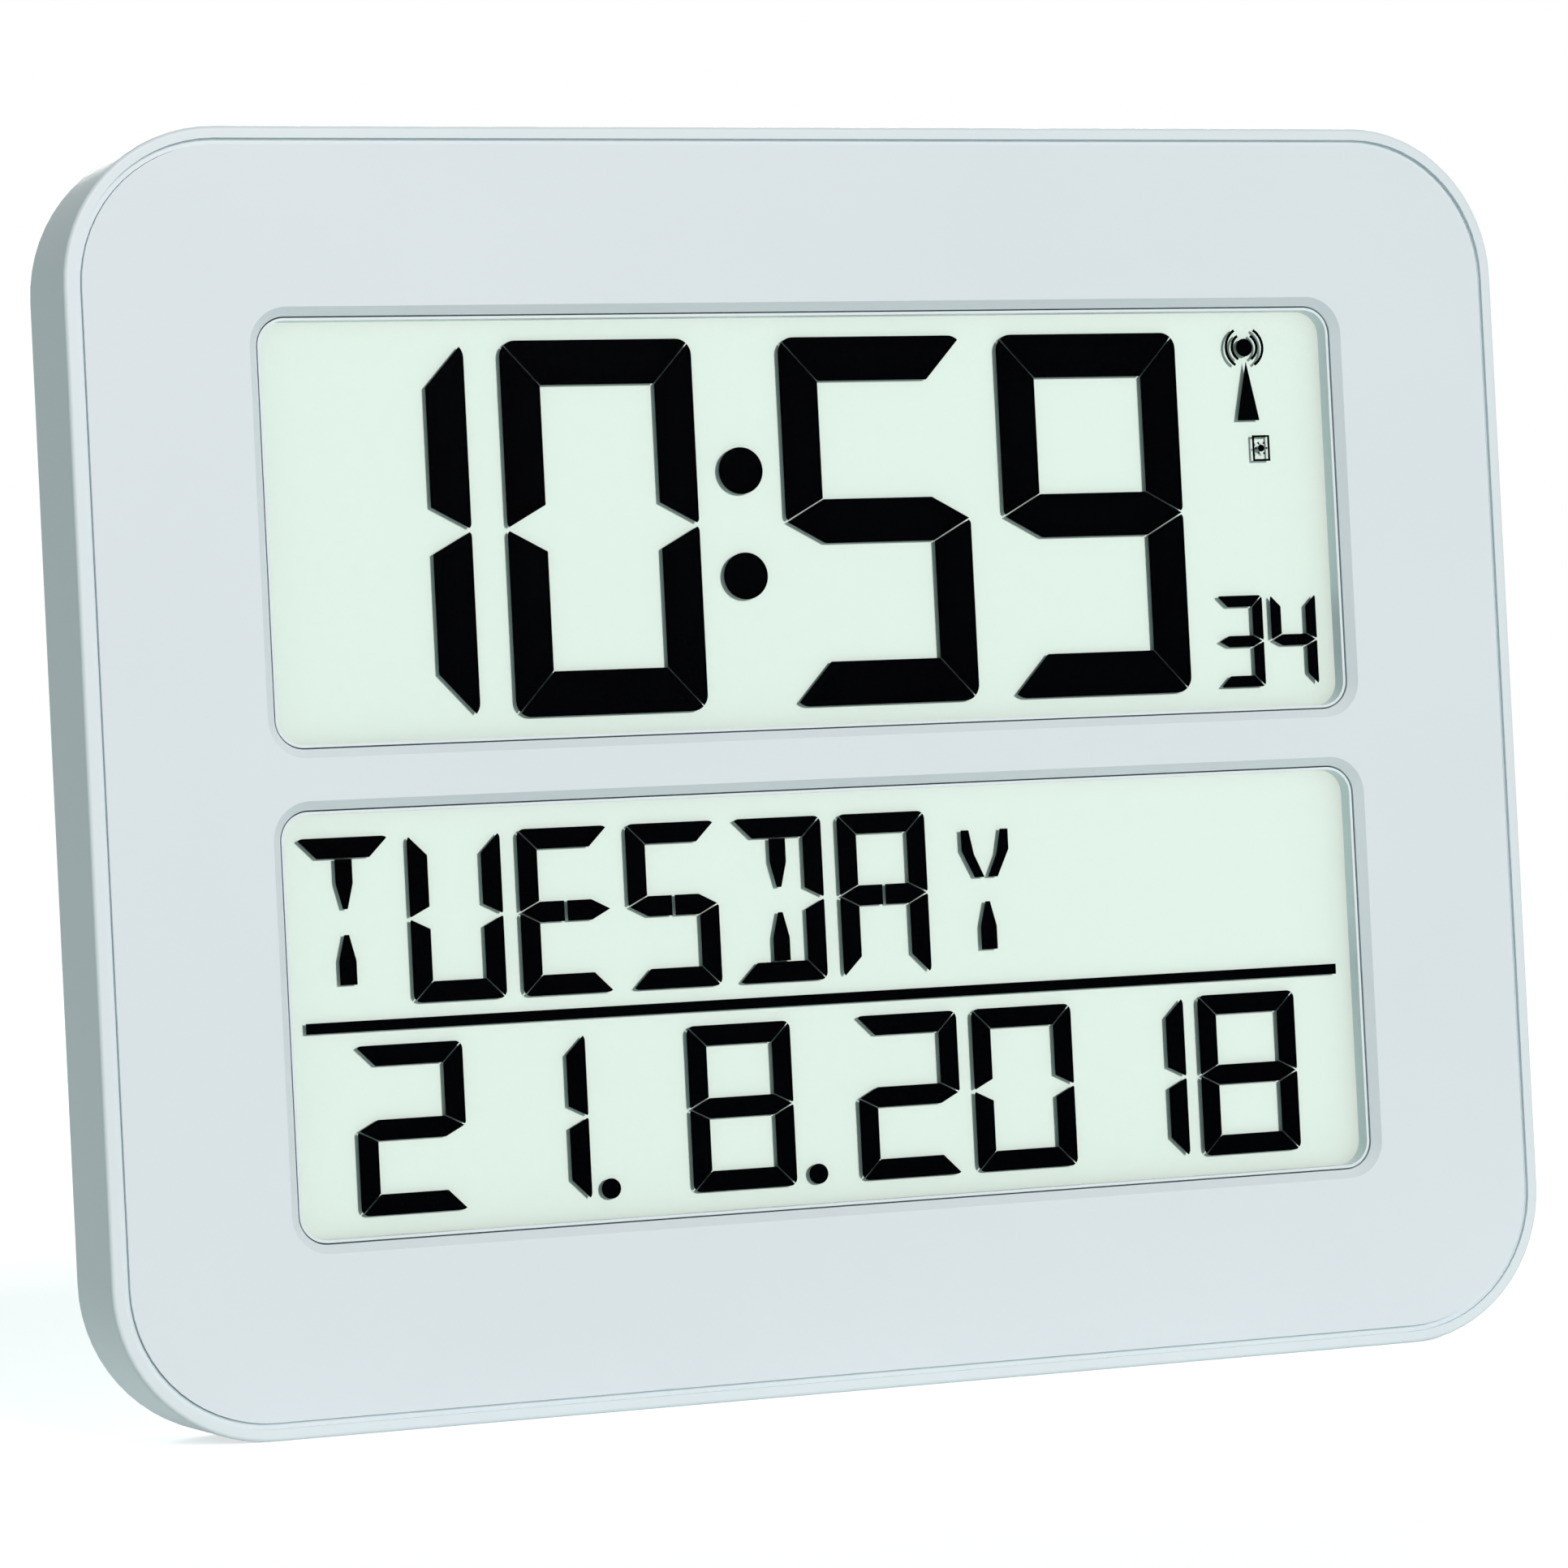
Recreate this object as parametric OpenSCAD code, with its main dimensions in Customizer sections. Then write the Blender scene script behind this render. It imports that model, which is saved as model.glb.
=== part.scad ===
// Day clock with two large liquid-crystal displays, a fold-out stand and two hanging holes.
// Every piece is drawn lying on its back, face up: x runs across the clock, y up its height,
// and z = 0 is the face, so a depth into the clock is a negative z. The last lines stand it up.

/* [Case] */
// Width of the clock
case_w = 258; // [236:1:290]
// Height of the clock
case_h = 212; // [195:1:240]
// Depth of the side wall
case_d = 21.6; // [20:0.1:23.6]
// Radius of the four corners
corner_r = 26; // [20:1:30]
// Thickness of the side wall
wall = 2.2; // [1.8:0.1:3]
// Radius of the front edge of the rim
rim_round = 0.7; // [0.3:0.1:1]
// Width of the flat rim round the face
rim_w = 1.97; // [1.5:0.01:2.1]
// Width of the groove inside the rim
groove_w = 1; // [0.6:0.1:1.5]
// Depth of the groove inside the rim
groove_d = 0.8; // [0.3:0.1:1.2]

/* [Face] */
// Thickness of the face plate
plate_t = 2.4; // [2:0.1:3]
// Thickness of the case panel behind the face plate
panel_t = 2.1; // [1.6:0.1:2.6]
// Distance from the side of the case to a window
window_side = 30.3; // [27:0.1:36]
// Distance from the top or bottom of the case to a window
window_end = 29.37; // [28:0.01:36]
// Width of the bar between the windows
window_bar = 6.96; // [6:0.01:9]
// Corner radius of a window at the face
window_r = 6.35; // [4:0.05:10]
// How far the chamfer of a window goes in
chamfer_w = 1.45; // [1:0.05:2]
// How deep the chamfer of a window goes
chamfer_d = 1.3; // [1:0.1:1.5]
// Gap between the face plate and the lip inside it
lip_gap = 0.25; // [0.15:0.05:0.4]
// Thickness of the lip round a display
lip_t = 0.45; // [0.4:0.05:0.8]

/* [Displays] */
// Thickness of each glass of a display
glass_t = 0.8; // [0.6:0.1:1.1]
// How far the glass reaches past its window
glass_lap = 2.8; // [2:0.1:3.2]
// Thickness of the dark segments
segment_t = 0.15; // [0.1:0.05:0.3]
// Thickness of the reflector behind the rear glass
reflector_t = 0.25; // [0.1:0.05:0.5]
// Light gap between two segments
segment_gap = 0.28; // [0.1:0.02:0.5]
// Free width of the front glass that holds the contacts
contact_w = 2.9; // [2:0.1:3]

/* [Time] */
// Space above and below a time digit
time_margin = 5.4; // [4:0.05:12]
// Space between two time digits
time_space = 6.25; // [4:0.05:10]
// Width of the upright bars of a time digit
time_upright = 6.85; // [3:0.05:9]
// Height of the level bars of a time digit
time_level = 7.45; // [3:0.05:9]
// Height of a seconds digit
seconds_h = 15.9; // [8:0.1:20]
// Width of a seconds digit
seconds_w = 8.75; // [5:0.05:9]

/* [Date] */
// Height of a weekday letter, as a share of the window's height
letter_share = 0.3775; // [0.3:0.0005:0.385]
// Space between two weekday letters
letter_space = 2.95; // [2:0.05:6]
// Height of a date digit, as a share of the window's height
date_share = 0.3787; // [0.3:0.0001:0.385]
// Space between two date digits
date_space = 2.8; // [2:0.05:6]
// Stroke of the letters and date digits
date_stroke = 3.4; // [2:0.1:4]
// Thickness of the line between weekday and date
divider_t = 1.75; // [1:0.05:2.5]

/* [Back] */
// Distance from the side of the case to the raised part of the back
hump_side = 25; // [24:0.5:26]
// Distance from the top of the case to the raised part
hump_above = 26; // [22:0.5:30]
// Distance from the bottom of the case to the raised part
hump_below = 8; // [7:0.5:12]
// Corner radius of the raised part
hump_r = 18; // [10:1:24]
// Chamfer round the raised part
hump_chamfer = 2; // [1:0.1:2.4]
// Wall of the rear cover
cover_t = 2; // [1.6:0.1:2.4]
// Gap between the rear cover and the case
cover_gap = 0.2; // [0.1:0.05:0.4]

/* [Wall hanging] */
// Distance between the two hanging holes
keyhole_pitch = 120; // [80:1:140]
// Distance of the hanging holes below the top of the raised part
keyhole_below = 24; // [18:1:34]
// Radius of the round entry for a screw head
keyhole_r = 4.5; // [4:0.1:5.5]
// Width of the slot for a screw shank
keyhole_slot = 4.4; // [3.5:0.1:5]
// Length of the slot above the entry
keyhole_rise = 8; // [6:0.5:9]

/* [Stand] */
// Space between the stand's hinge blocks and the battery tray
stand_side = 1.5; // [1:0.5:8]
// Distance from the bottom of the raised part to the foot of the stand
stand_rise = 8; // [7:0.5:20]
// Height of the hinge above the middle
stand_up = 2; // [-2:1:10]
// Thickness of the stand's plate
stand_t = 2; // [1.5:0.1:3]
// Radius of the hinge knuckle
knuckle_r = 2.6; // [2.3:0.1:2.7]
// Radius of the hinge pins
pivot_r = 1.6; // [1.2:0.1:1.8]
// Length of each hinge pin
pivot_l = 3; // [2:0.5:4]
// Radial clearance of the hinge pins
pivot_gap = 0.05; // [0.02:0.01:0.1]
// Side and end clearance of the stand in its recess
stand_gap = 0.4; // [0.3:0.1:0.8]
// Width of the finger notch at the foot
notch_w = 28; // [20:1:40]

/* [Batteries] */
// Radius of a cell
cell_r = 7.1; // [6.9:0.05:7.25]
// Length of a cell with its button
cell_l = 50; // [49:0.1:50.5]
// Clearance round the cells
cell_gap = 0.4; // [0.3:0.05:0.6]
// Length of a contact spring
spring_l = 5.6; // [4:0.1:8]
// Thickness of the contact plates
contact_t = 0.5; // [0.3:0.1:0.8]
// Distance from the side of the case to the middle of the battery bay
bay_side = 62; // [61:0.5:64]
// Middle of the battery bay, up
bay_y = -28; // [-50:1:0]
// Wall of the battery tray
tray_wall = 1.3; // [1:0.1:1.5]
// Room between the display frame and the battery tray
tray_gap = 1; // [0.5:0.1:3]
// Thickness of the battery lid
lid_t = 2.1; // [1.8:0.1:2.2]
// How far the lid laps past the bay
lid_lap = 2.4; // [2:0.1:3]
// Gap round the lid
lid_gap = 0.3; // [0.3:0.05:0.5]
// Width of the finger scoop beside the lid
scoop_w = 18; // [14:1:24]
// Depth of the finger scoop
scoop_d = 4.7; // [4.2:0.1:5.5]

/* [Buttons] */
// Distance from the side of the case to the column of buttons
button_side = 67; // [60:1:70]
// Height of the top button, from the middle
button_top = -8; // [-12:1:4]
// Distance between two buttons
button_pitch = 15; // [13:0.5:17]
// Radius of a button
button_r = 3.6; // [2.5:0.1:4.5]
// Travel of a button
button_travel = 0.6; // [0.3:0.1:0.8]
// Gap round a button
button_gap = 0.3; // [0.3:0.05:0.5]
// Depth of the pocket that the buttons stand in
button_pocket = 1; // [0.6:0.1:1.2]

/* [Fasteners] */
// Shank radius of the case screws
screw_r = 1.45; // [1.2:0.05:1.5]
// Head radius of the case screws
screw_head_r = 2.8; // [2.4:0.1:3.2]
// Radius of the screw bosses
boss_r = 4.4; // [4:0.1:5]
// How far the corner screws sit in from the sides
screw_inset = 17; // [15:0.5:19]
// Shank radius of the small screws
small_screw_r = 1; // [0.8:0.05:1.1]
// Head radius of the small screws
small_head_r = 2; // [1.8:0.1:2.2]

/* [Boards] */
// Space between the battery tray and the main board
board_space = 10.9; // [8:0.1:20]
// Height of the main board
board_h = 70; // [40:1:90]
// Thickness of the boards
board_t = 1.6; // [1:0.1:1.6]
// Length of the ferrite rod
rod_l = 60; // [40:1:70]
// Radius of the ferrite rod
rod_r = 4; // [3:0.1:4.5]
// Length of the coil on the ferrite rod
coil_l = 24; // [10:1:30]
// Radius of the battery leads
lead_r = 0.65; // [0.4:0.05:0.8]

/* [Hidden] */
$fn = 64;
seat = 0.1; // clearance of pieces that lie on each other
film = 0.02; // gap between the layers of a display
plate_inset = rim_w + groove_w;
panel_back = plate_t + panel_t;
window_w = case_w - 2 * window_side;
window_h = (case_h - window_bar) / 2 - window_end;
win_y = (window_h + window_bar) / 2;
open_w = window_w - 2 * chamfer_w;
open_h = window_h - 2 * chamfer_w;
open_r = window_r - chamfer_w;
lip_front = chamfer_d + 0.2;
lip_groove = plate_t + 1; // bottom of the gap round the lip
lip_inset = lip_gap + lip_t;
glass_w = open_w + 2 * glass_lap;
glass_h = open_h + 2 * glass_lap;
segment_front = panel_back + glass_t;
rear_glass_front = segment_front + segment_t;
rear_glass_back = rear_glass_front + glass_t;
reflector_back = rear_glass_back + reflector_t;

// The frame that presses the displays against the case panel
frame_lip = 3.2; // wall of the frame round the glasses
frame_ledge_t = 1; // the closed back of the display frame
frame_w = glass_w + 2 * frame_lip;
frame_h = 2 * win_y + glass_h + 2 * frame_lip;
frame_back = reflector_back + seat + frame_ledge_t;
ear_r = 3.8;
ear_x = frame_w / 2 + ear_r - 1;
ear_y = frame_h / 2 - 21;
ear_front = panel_back + 1.4;
strip_t = contact_w - 0.8; // contact strip between display and main board
strip_y = win_y - glass_h / 2 + contact_w / 2;

// Boards
board_front = frame_back + 1;
board_back = board_front + board_t;
board_hole = 4; // inset of the board's screws
key_board_w = 15;
key_board_end = 15; // board beyond the middle of an end button
key_board_h = 3 * button_pitch + 2 * key_board_end;

// Rear cover; its raised part is as deep as the cells need
total_d = frame_back + tray_gap + tray_wall + 2 * (cell_r + cell_gap) + lid_t;
cover_out = case_d - cover_gap;
cover_in = cover_out - cover_t;
hump_in = total_d - cover_t;
cover_w = case_w - 2 * (wall + cover_gap);
cover_h = case_h - 2 * (wall + cover_gap);
cover_r = corner_r - wall - cover_gap;
hump_w = case_w - 2 * hump_side;
hump_h = case_h - hump_above - hump_below;
hump_y = (hump_below - hump_above) / 2;
hump_end = hump_y - hump_h / 2;
keyhole_y = hump_y + hump_h / 2 - keyhole_below;
joint_d = case_d - 9.6; // depth where the cover's bosses meet the case's posts
head_seat = joint_d + 4.5;
head_t = 2;
screw_l = head_seat - panel_back - 2;
screw_x = case_w / 2 - screw_inset;
screw_y = case_h / 2 - screw_inset;
side_screw_x = case_w / 2 - wall - boss_r - 3;

// Battery bay, with the cells along x
bay_x = bay_side - case_w / 2;
bay_l = cell_l + spring_l + 2 * contact_t + 1;
bay_h = 4 * cell_r + 3 * cell_gap;
lid_in = total_d - lid_t;
bay_floor = lid_in - 2 * cell_gap - 2 * cell_r;
cell_d = lid_in - cell_gap - cell_r;
cell_y = cell_r + cell_gap / 2;
lid_w = bay_l + 2 * lid_lap;
lid_h = bay_h + 2 * lid_lap;
lid_r = 3;
scoop_h = 7;
scoop_y = bay_y + (lid_h + scoop_h) / 2;
tab_w = 3; // solder tab of an outer contact
tab_end = bay_x - bay_l / 2 - tray_wall - 1.5;

// Main board, between the battery tray and the right end of the display frame
board_left = bay_x + bay_l / 2 + tray_wall + board_space;
board_right = frame_w / 2 - 9.25;
board_w = board_right - board_left;
board_x = (board_left + board_right) / 2;
strip_l = board_w - 20;

// Stand
pivot_block = pivot_l + 2;
stand_w = 2 * (-bay_x - bay_l / 2 - tray_wall - stand_side - pivot_block - stand_gap);
stand_l = stand_up - hump_end - stand_rise;
recess_floor = total_d - 2 * knuckle_r - 0.8;
hinge_d = total_d - 0.2 - knuckle_r;
recess_w = stand_w + 2 * stand_gap;
recess_top = stand_up + knuckle_r + stand_gap;
recess_end = stand_up - stand_l - stand_gap;
recess_wall = 1.6;

// Buttons, from the depth of the cap's top inwards
button_x = case_w / 2 - button_side;
button_out = total_d - 0.3;
pocket_floor = total_d - button_pocket;
flange_r = button_r + 1.1;
flange_out = hump_in - button_gap;
flange_t = 1;
stem_tip = flange_out - flange_t - 0.4;
switch_top = stem_tip - button_travel - 0.3;
switch_h = 4.2; // a switch with its plunger
key_board_back = switch_top - switch_h;
key_board_front = key_board_back - board_t;
key_board_y = button_top - 1.5 * button_pitch;
button_y = [for (i = [0:3]) button_top - i * button_pitch];

// Ferrite rod and radio board, above the displays
cradle_h = 2.2; // height of the pegs and of the rod over the case panel
cradle_w = 6;
cradle_arm = 1.6; // wall of an arm that holds the rod
radio_w = 24;
radio_h = 14;
radio_t = 1.2;
radio_x = board_left + board_hole;
radio_back = panel_back + cradle_h + radio_t;
radio_gap = 22; // from the radio board to the rod
rod_x = radio_x + radio_w / 2 + radio_gap + rod_l / 2;
rod_y = case_h / 2 - wall - 10.5;
rod_d = panel_back + cradle_h + rod_r;
coil_t = 1.2;
wire_gap = 0.05; // from a lead to what it is soldered to

// Small parts on the boards
drop_sphere = 16; // radius that the drop of resin is curved to
drop_h = 3;
crystal_r = 1.5;
crystal_l = 6.2;
capacitor_r = 3;
capacitor_h = 6.5;
ribbon_w = 10;
ribbon_t = 0.7;
switch_w = 6;
plunger_r = 1.7;
plunger_h = 0.8;
small_head_t = 1.2;
radio_ribbon_w = 6;

// ---- shapes that several pieces share ----

module round_rect(w, h, r) {
    square([w - 2 * r, h], center = true);
    square([w, h - 2 * r], center = true);
    for (x = [-1, 1], y = [-1, 1])
        translate([x * (w / 2 - r), y * (h / 2 - r)])
            circle(r);
}

// A flat outline made solid between two depths
module slab(front, back) {
    translate([0, 0, -back])
        linear_extrude(back - front)
            children();
}

module rod(r, front, back) {
    translate([0, 0, -back])
        cylinder(r = r, h = back - front);
}

// A section carried round a rounded rectangle. Its x runs outwards from the corners' centres.
module swept_ring(w, h, r) {
    for (i = [0:3]) {
        along = i % 2 == 0 ? w / 2 - r : h / 2 - r;
        across = i % 2 == 0 ? h / 2 - r : w / 2 - r;
        rotate(90 * i)
            translate([along, across, 0]) {
                rotate([90, 0, 0])
                    linear_extrude(2 * across)
                        children();
                rotate_extrude(angle = 90)
                    children();
            }
    }
}

module at_windows() {
    for (y = [-1, 1])
        translate([0, y * win_y, 0])
            children();
}

module at_case_screws() {
    for (x = [-1, 1], y = [-1, 1])
        translate([x * screw_x, y * screw_y, 0])
            children();
    for (x = [-1, 1])
        translate([x * side_screw_x, 0, 0])
            children();
}

module at_ears() {
    for (x = [-1, 1], y = [-1, 1])
        translate([x * ear_x, y * ear_y, 0])
            children();
}

module at_board_holes() {
    for (x = [-1, 1], y = [-1, 1])
        translate([board_x + x * (board_w / 2 - board_hole), y * (board_h / 2 - board_hole), 0])
            children();
}

module at_key_board_holes() {
    for (y = [-1, 1])
        translate([button_x, key_board_y + y * (key_board_h / 2 - board_hole), 0])
            children();
}

// ---- case ----

module rim_section() {
    translate([corner_r - wall, -case_d])
        square([wall, case_d - rim_round]);
    translate([corner_r - rim_w, -plate_t])
        square([rim_w - rim_round, plate_t]);
    translate([corner_r - rim_round, -rim_round])
        circle(rim_round);
    translate([corner_r - plate_inset, -panel_back])
        square([plate_inset - rim_w / 2, panel_back - groove_d]);
}

// The opening in the face plate, or an outline inside it
module window_outline(inset) {
    round_rect(open_w - 2 * inset, open_h - 2 * inset, open_r - inset);
}

module front_case() {
    color("gainsboro")
        difference() {
            union() {
                swept_ring(case_w, case_h, corner_r)
                    rim_section();
                slab(plate_t, panel_back)
                    round_rect(case_w - 2 * rim_w, case_h - 2 * rim_w, corner_r - rim_w);
                at_case_screws()
                    rod(boss_r, panel_back - 0.5, joint_d);
                at_ears()
                    rod(ear_r, panel_back - 0.5, ear_front);
                at_windows()
                    slab(lip_front, plate_t + 0.5)
                        window_outline(lip_gap);
            }
            at_windows() {
                slab(lip_front - 1, panel_back + 1)
                    window_outline(lip_inset);
                slab(lip_front - 1, lip_groove)
                    difference() {
                        window_outline(0);
                        window_outline(lip_gap);
                    }
            }
            at_case_screws()
                rod(screw_r + 0.05, panel_back + 0.6, joint_d + 1);
            at_ears()
                rod(small_screw_r + 0.05, panel_back - 1, ear_front + 1);
        }
}

module face_plate() {
    w = case_w - 2 * plate_inset - seat;
    h = case_h - 2 * plate_inset - seat;
    color("whitesmoke")
        difference() {
            slab(0, plate_t)
                round_rect(w, h, corner_r - plate_inset);
            at_windows() {
                slab(-1, plate_t + 1)
                    window_outline(0);
                swept_ring(open_w, open_h, open_r)
                    polygon([
                        [open_r - 0.5, 0.5],
                        [open_r + chamfer_w * (1 + 0.5 / chamfer_d), 0.5],
                        [open_r, -chamfer_d],
                        [open_r - 0.5, -chamfer_d]
                    ]);
            }
        }
}

module hump_block(w, h, r, front, back, chamfer) {
    slab(front, back - chamfer)
        round_rect(w, h, r);
    slab(front, back)
        round_rect(w - 2 * chamfer, h - 2 * chamfer, r - chamfer);
    swept_ring(w, h, r)
        polygon([[r - chamfer, -back], [r, chamfer - back], [r - chamfer, chamfer - back]]);
}

module keyhole() {
    circle(keyhole_r);
    translate([-keyhole_slot / 2, 0])
        square([keyhole_slot, keyhole_rise]);
    translate([0, keyhole_rise])
        circle(keyhole_slot / 2);
}

// Outlines seen from above the lying clock
module recess_outline(extra) {
    translate([-recess_w / 2 - extra, recess_end - extra])
        square([recess_w + 2 * extra, recess_top - recess_end + 2 * extra]);
}

module bay_outline(extra) {
    translate([bay_x, bay_y])
        square([bay_l + 2 * extra, bay_h + 2 * extra], center = true);
}

module rear_cover_blocks() {
    slab(cover_in, cover_out)
        round_rect(cover_w, cover_h, cover_r);
    translate([0, hump_y, 0])
        hump_block(hump_w, hump_h, hump_r, cover_in, total_d, hump_chamfer);
}

module scoop_outline(extra) {
    translate([bay_x, scoop_y])
        round_rect(scoop_w + 2 * extra, scoop_h + 2 * extra, 3 + extra);
}

module rear_cover_supports() {
    slab(recess_floor - recess_wall, hump_in + 0.5)
        recess_outline(recess_wall);
    slab(cover_in, hump_in + 0.5)
        translate([-notch_w / 2 - recess_wall, hump_end + cover_t / 2])
            square([notch_w + 2 * recess_wall, recess_end - hump_end]);
    slab(hinge_d - 2 * pivot_r, hump_in + 0.5)
        for (x = [-1, 1])
            translate([x * (recess_w + pivot_block) / 2, stand_up])
                square([pivot_block, 4 * pivot_r], center = true);
    slab(total_d - scoop_d - recess_wall, hump_in + 0.5)
        scoop_outline(recess_wall);
    slab(bay_floor - tray_wall, hump_in + 0.5)
        bay_outline(tray_wall);
    slab(hump_in - 3, hump_in + 0.5)
        translate([bay_x, bay_y])
            round_rect(lid_w + 2 * lid_gap + 3, lid_h + 2 * lid_gap + 3, lid_r + 1.5);
    at_case_screws()
        rod(boss_r, joint_d, cover_out - 0.5);
    at_key_board_holes()
        rod(3, key_board_back, hump_in + 0.5);
}

module rear_cover() {
    color("gainsboro")
        difference() {
            union() {
                difference() {
                    rear_cover_blocks();
                    translate([0, hump_y, 0])
                        slab(cover_in - 1, hump_in)
                            round_rect(hump_w - 2 * cover_t, hump_h - 2 * cover_t, hump_r - cover_t);
                }
                rear_cover_supports();
            }
            // stand recess, with its finger notch and pivot holes
            slab(recess_floor, total_d + 1)
                recess_outline(0);
            slab(cover_out, total_d + 1)
                translate([-notch_w / 2, hump_end - 1])
                    square([notch_w, recess_end + 2 - hump_end]);
            translate([-recess_w / 2 - pivot_l - 0.5, stand_up, -hinge_d])
                rotate([0, 90, 0])
                    cylinder(r = pivot_r + pivot_gap, h = recess_w + 2 * pivot_l + 1);
            // battery bay, the seat of its lid and a scoop for a fingernail
            slab(bay_floor, total_d + 1)
                bay_outline(0);
            slab(lid_in - seat, total_d + 1)
                translate([bay_x, bay_y])
                    round_rect(lid_w + 2 * lid_gap, lid_h + 2 * lid_gap, lid_r + lid_gap);
            slab(total_d - scoop_d, total_d + 1)
                scoop_outline(0);
            // slots for the tabs of the outer contacts
            for (side = [-1, 1])
                translate([bay_x - (bay_l + tray_wall) / 2, bay_y + side * cell_y, -cell_d])
                    cube([tray_wall + 1, tab_w + 0.2, contact_t + 0.2], center = true);
            // hanging holes
            for (x = [-1, 1])
                translate([x * keyhole_pitch / 2, keyhole_y, 0])
                    slab(hump_in - 1, total_d + 1)
                        keyhole();
            // buttons
            slab(pocket_floor, total_d + 1)
                translate([button_x, key_board_y])
                    round_rect(2 * button_r + 9, 3 * button_pitch + 2 * button_r + 9, button_r + 2);
            for (y = button_y)
                translate([button_x, y, 0])
                    rod(button_r + button_gap, hump_in - 1, total_d + 1);
            at_key_board_holes()
                rod(small_screw_r + 0.05, key_board_back - 1, key_board_back + 5);
            // case screws
            at_case_screws() {
                rod(screw_r + 0.2, joint_d - 1, head_seat + 1);
                rod(screw_head_r + 0.3, head_seat, total_d + 1);
            }
        }
}

module case_screw() {
    cross = screw_head_r * 1.1;
    difference() {
        union() {
            rod(screw_head_r, head_seat, head_seat + head_t);
            rod(screw_r, head_seat - screw_l, head_seat + 0.5);
        }
        for (a = [0, 90])
            rotate(a)
                translate([-cross / 2, -0.3, -head_seat - head_t - 0.1])
                    cube([cross, 0.6, 1.1]);
    }
}

module case_screws() {
    color("silver")
        at_case_screws()
            case_screw();
}

// ---- displays ----

module display_frame() {
    color("white")
        difference() {
            union() {
                slab(panel_back, frame_back)
                    round_rect(frame_w, frame_h, 4);
                slab(ear_front, frame_back)
                    for (x = [-1, 1], y = [-1, 1])
                        translate([x * ear_x, y * ear_y])
                            circle(ear_r);
                at_board_holes()
                    rod(3, frame_back - 0.5, board_front);
            }
            at_ears()
                rod(ear_r + 0.2, panel_back - 1, ear_front);
            at_board_holes()
                rod(small_screw_r + 0.05, reflector_back + 0.3, board_front + 1);
            at_windows()
                slab(panel_back - 1, reflector_back + seat)
                    square([glass_w + 2 * seat, glass_h + 2 * seat], center = true);
            // slots for the contact strips beside the middle bar
            for (side = [-1, 1])
                slab(reflector_back, frame_back + 1)
                    translate([board_x, side * strip_y])
                        square([strip_l + 1, contact_w + 2 * seat], center = true);
            at_ears()
                rod(small_screw_r + 0.1, panel_back - 1, frame_back + 1);
        }
}

module small_screw(seat_d, length, outwards) {
    if (outwards) {
        rod(small_head_r, seat_d, seat_d + small_head_t);
        rod(small_screw_r, seat_d - length, seat_d + 0.5);
    } else {
        rod(small_head_r, seat_d - small_head_t, seat_d);
        rod(small_screw_r, seat_d - 0.5, seat_d + length);
    }
}

module frame_screws() {
    color("silver")
        at_ears()
            small_screw(frame_back, frame_back - panel_back, true);
}

// The glasses of one display; side is 1 above the bar and -1 below it
module front_glass(side) {
    color("lightcyan")
        translate([0, side * win_y, 0])
            slab(panel_back, panel_back + glass_t)
                square([glass_w, glass_h], center = true);
}

module rear_layer(side, front, back) {
    translate([0, side * (win_y + contact_w / 2), 0])
        slab(front, back)
            square([glass_w, glass_h - contact_w], center = true);
}

module rear_glass(side) {
    color("lightcyan")
        rear_layer(side, rear_glass_front, rear_glass_back);
}

module reflector(side) {
    color("honeydew")
        rear_layer(side, rear_glass_back + film, reflector_back);
}

module contact_strip(side) {
    color("dimgray")
        slab(segment_front, board_front)
            translate([board_x, side * strip_y])
                square([strip_l, strip_t], center = true);
}

// ---- segments: a digit is drawn from its lower left corner ----

// Which of the bars a (top), b, c, d (bottom), e, f and g (middle) each digit shows
DIGIT_BARS = ["abcdef", "bc", "abged", "abgcd", "fgbc", "afgcd", "afgedc", "abc", "abcdefg", "abcdfg"];

function has(bars, wanted) = len(search(bars, wanted)) > 0;

// One upright bar of the left side, from the digit's middle to its top. In all of these,
// s holds the width of an upright bar and the height of a level one.
module side_bar(w, h, s, gap) {
    intersection() {
        polygon([
            [0, h / 2 + gap],
            [s[0], h / 2 + s[1] / 2 + gap],
            [s[0], h - s[1] - gap],
            [0, h - gap]
        ]);
        translate([w / 2, h * 3 / 4 + gap / 2])
            round_rect(w, h / 2 - gap, s[0] * 0.14);
    }
}

module top_bar(w, h, s, gap) {
    polygon([[gap, h], [w - gap, h], [w - s[0] - gap, h - s[1]], [s[0] + gap, h - s[1]]]);
}

module middle_bar(w, h, s, gap) {
    m = h / 2;
    polygon([
        [2 * gap, m],
        [s[0] + gap, m + s[1] / 2],
        [w - s[0] - gap, m + s[1] / 2],
        [w - 2 * gap, m],
        [w - s[0] - gap, m - s[1] / 2],
        [s[0] + gap, m - s[1] / 2]
    ]);
}

module flip_x(w) {
    translate([w, 0])
        mirror([1, 0])
            children();
}

module flip_y(h) {
    translate([0, h])
        mirror([0, 1])
            children();
}

module bars_shape(bars, w, h, s, gap) {
    intersection() {
        translate([w / 2, h / 2])
            round_rect(w, h, s[0] * 0.4);
        union() {
            if (has(bars, "a"))
                top_bar(w, h, s, gap);
            if (has(bars, "d"))
                flip_y(h)
                    top_bar(w, h, s, gap);
            if (has(bars, "f"))
                side_bar(w, h, s, gap);
            if (has(bars, "e"))
                flip_y(h)
                    side_bar(w, h, s, gap);
            if (has(bars, "b"))
                flip_x(w)
                    side_bar(w, h, s, gap);
            if (has(bars, "c"))
                flip_x(w)
                    flip_y(h)
                        side_bar(w, h, s, gap);
            if (has(bars, "g"))
                middle_bar(w, h, s, gap);
        }
    }
}

module digit(n, w, h, s) {
    bars_shape(DIGIT_BARS[n], w, h, s, segment_gap / 2);
}

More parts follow.
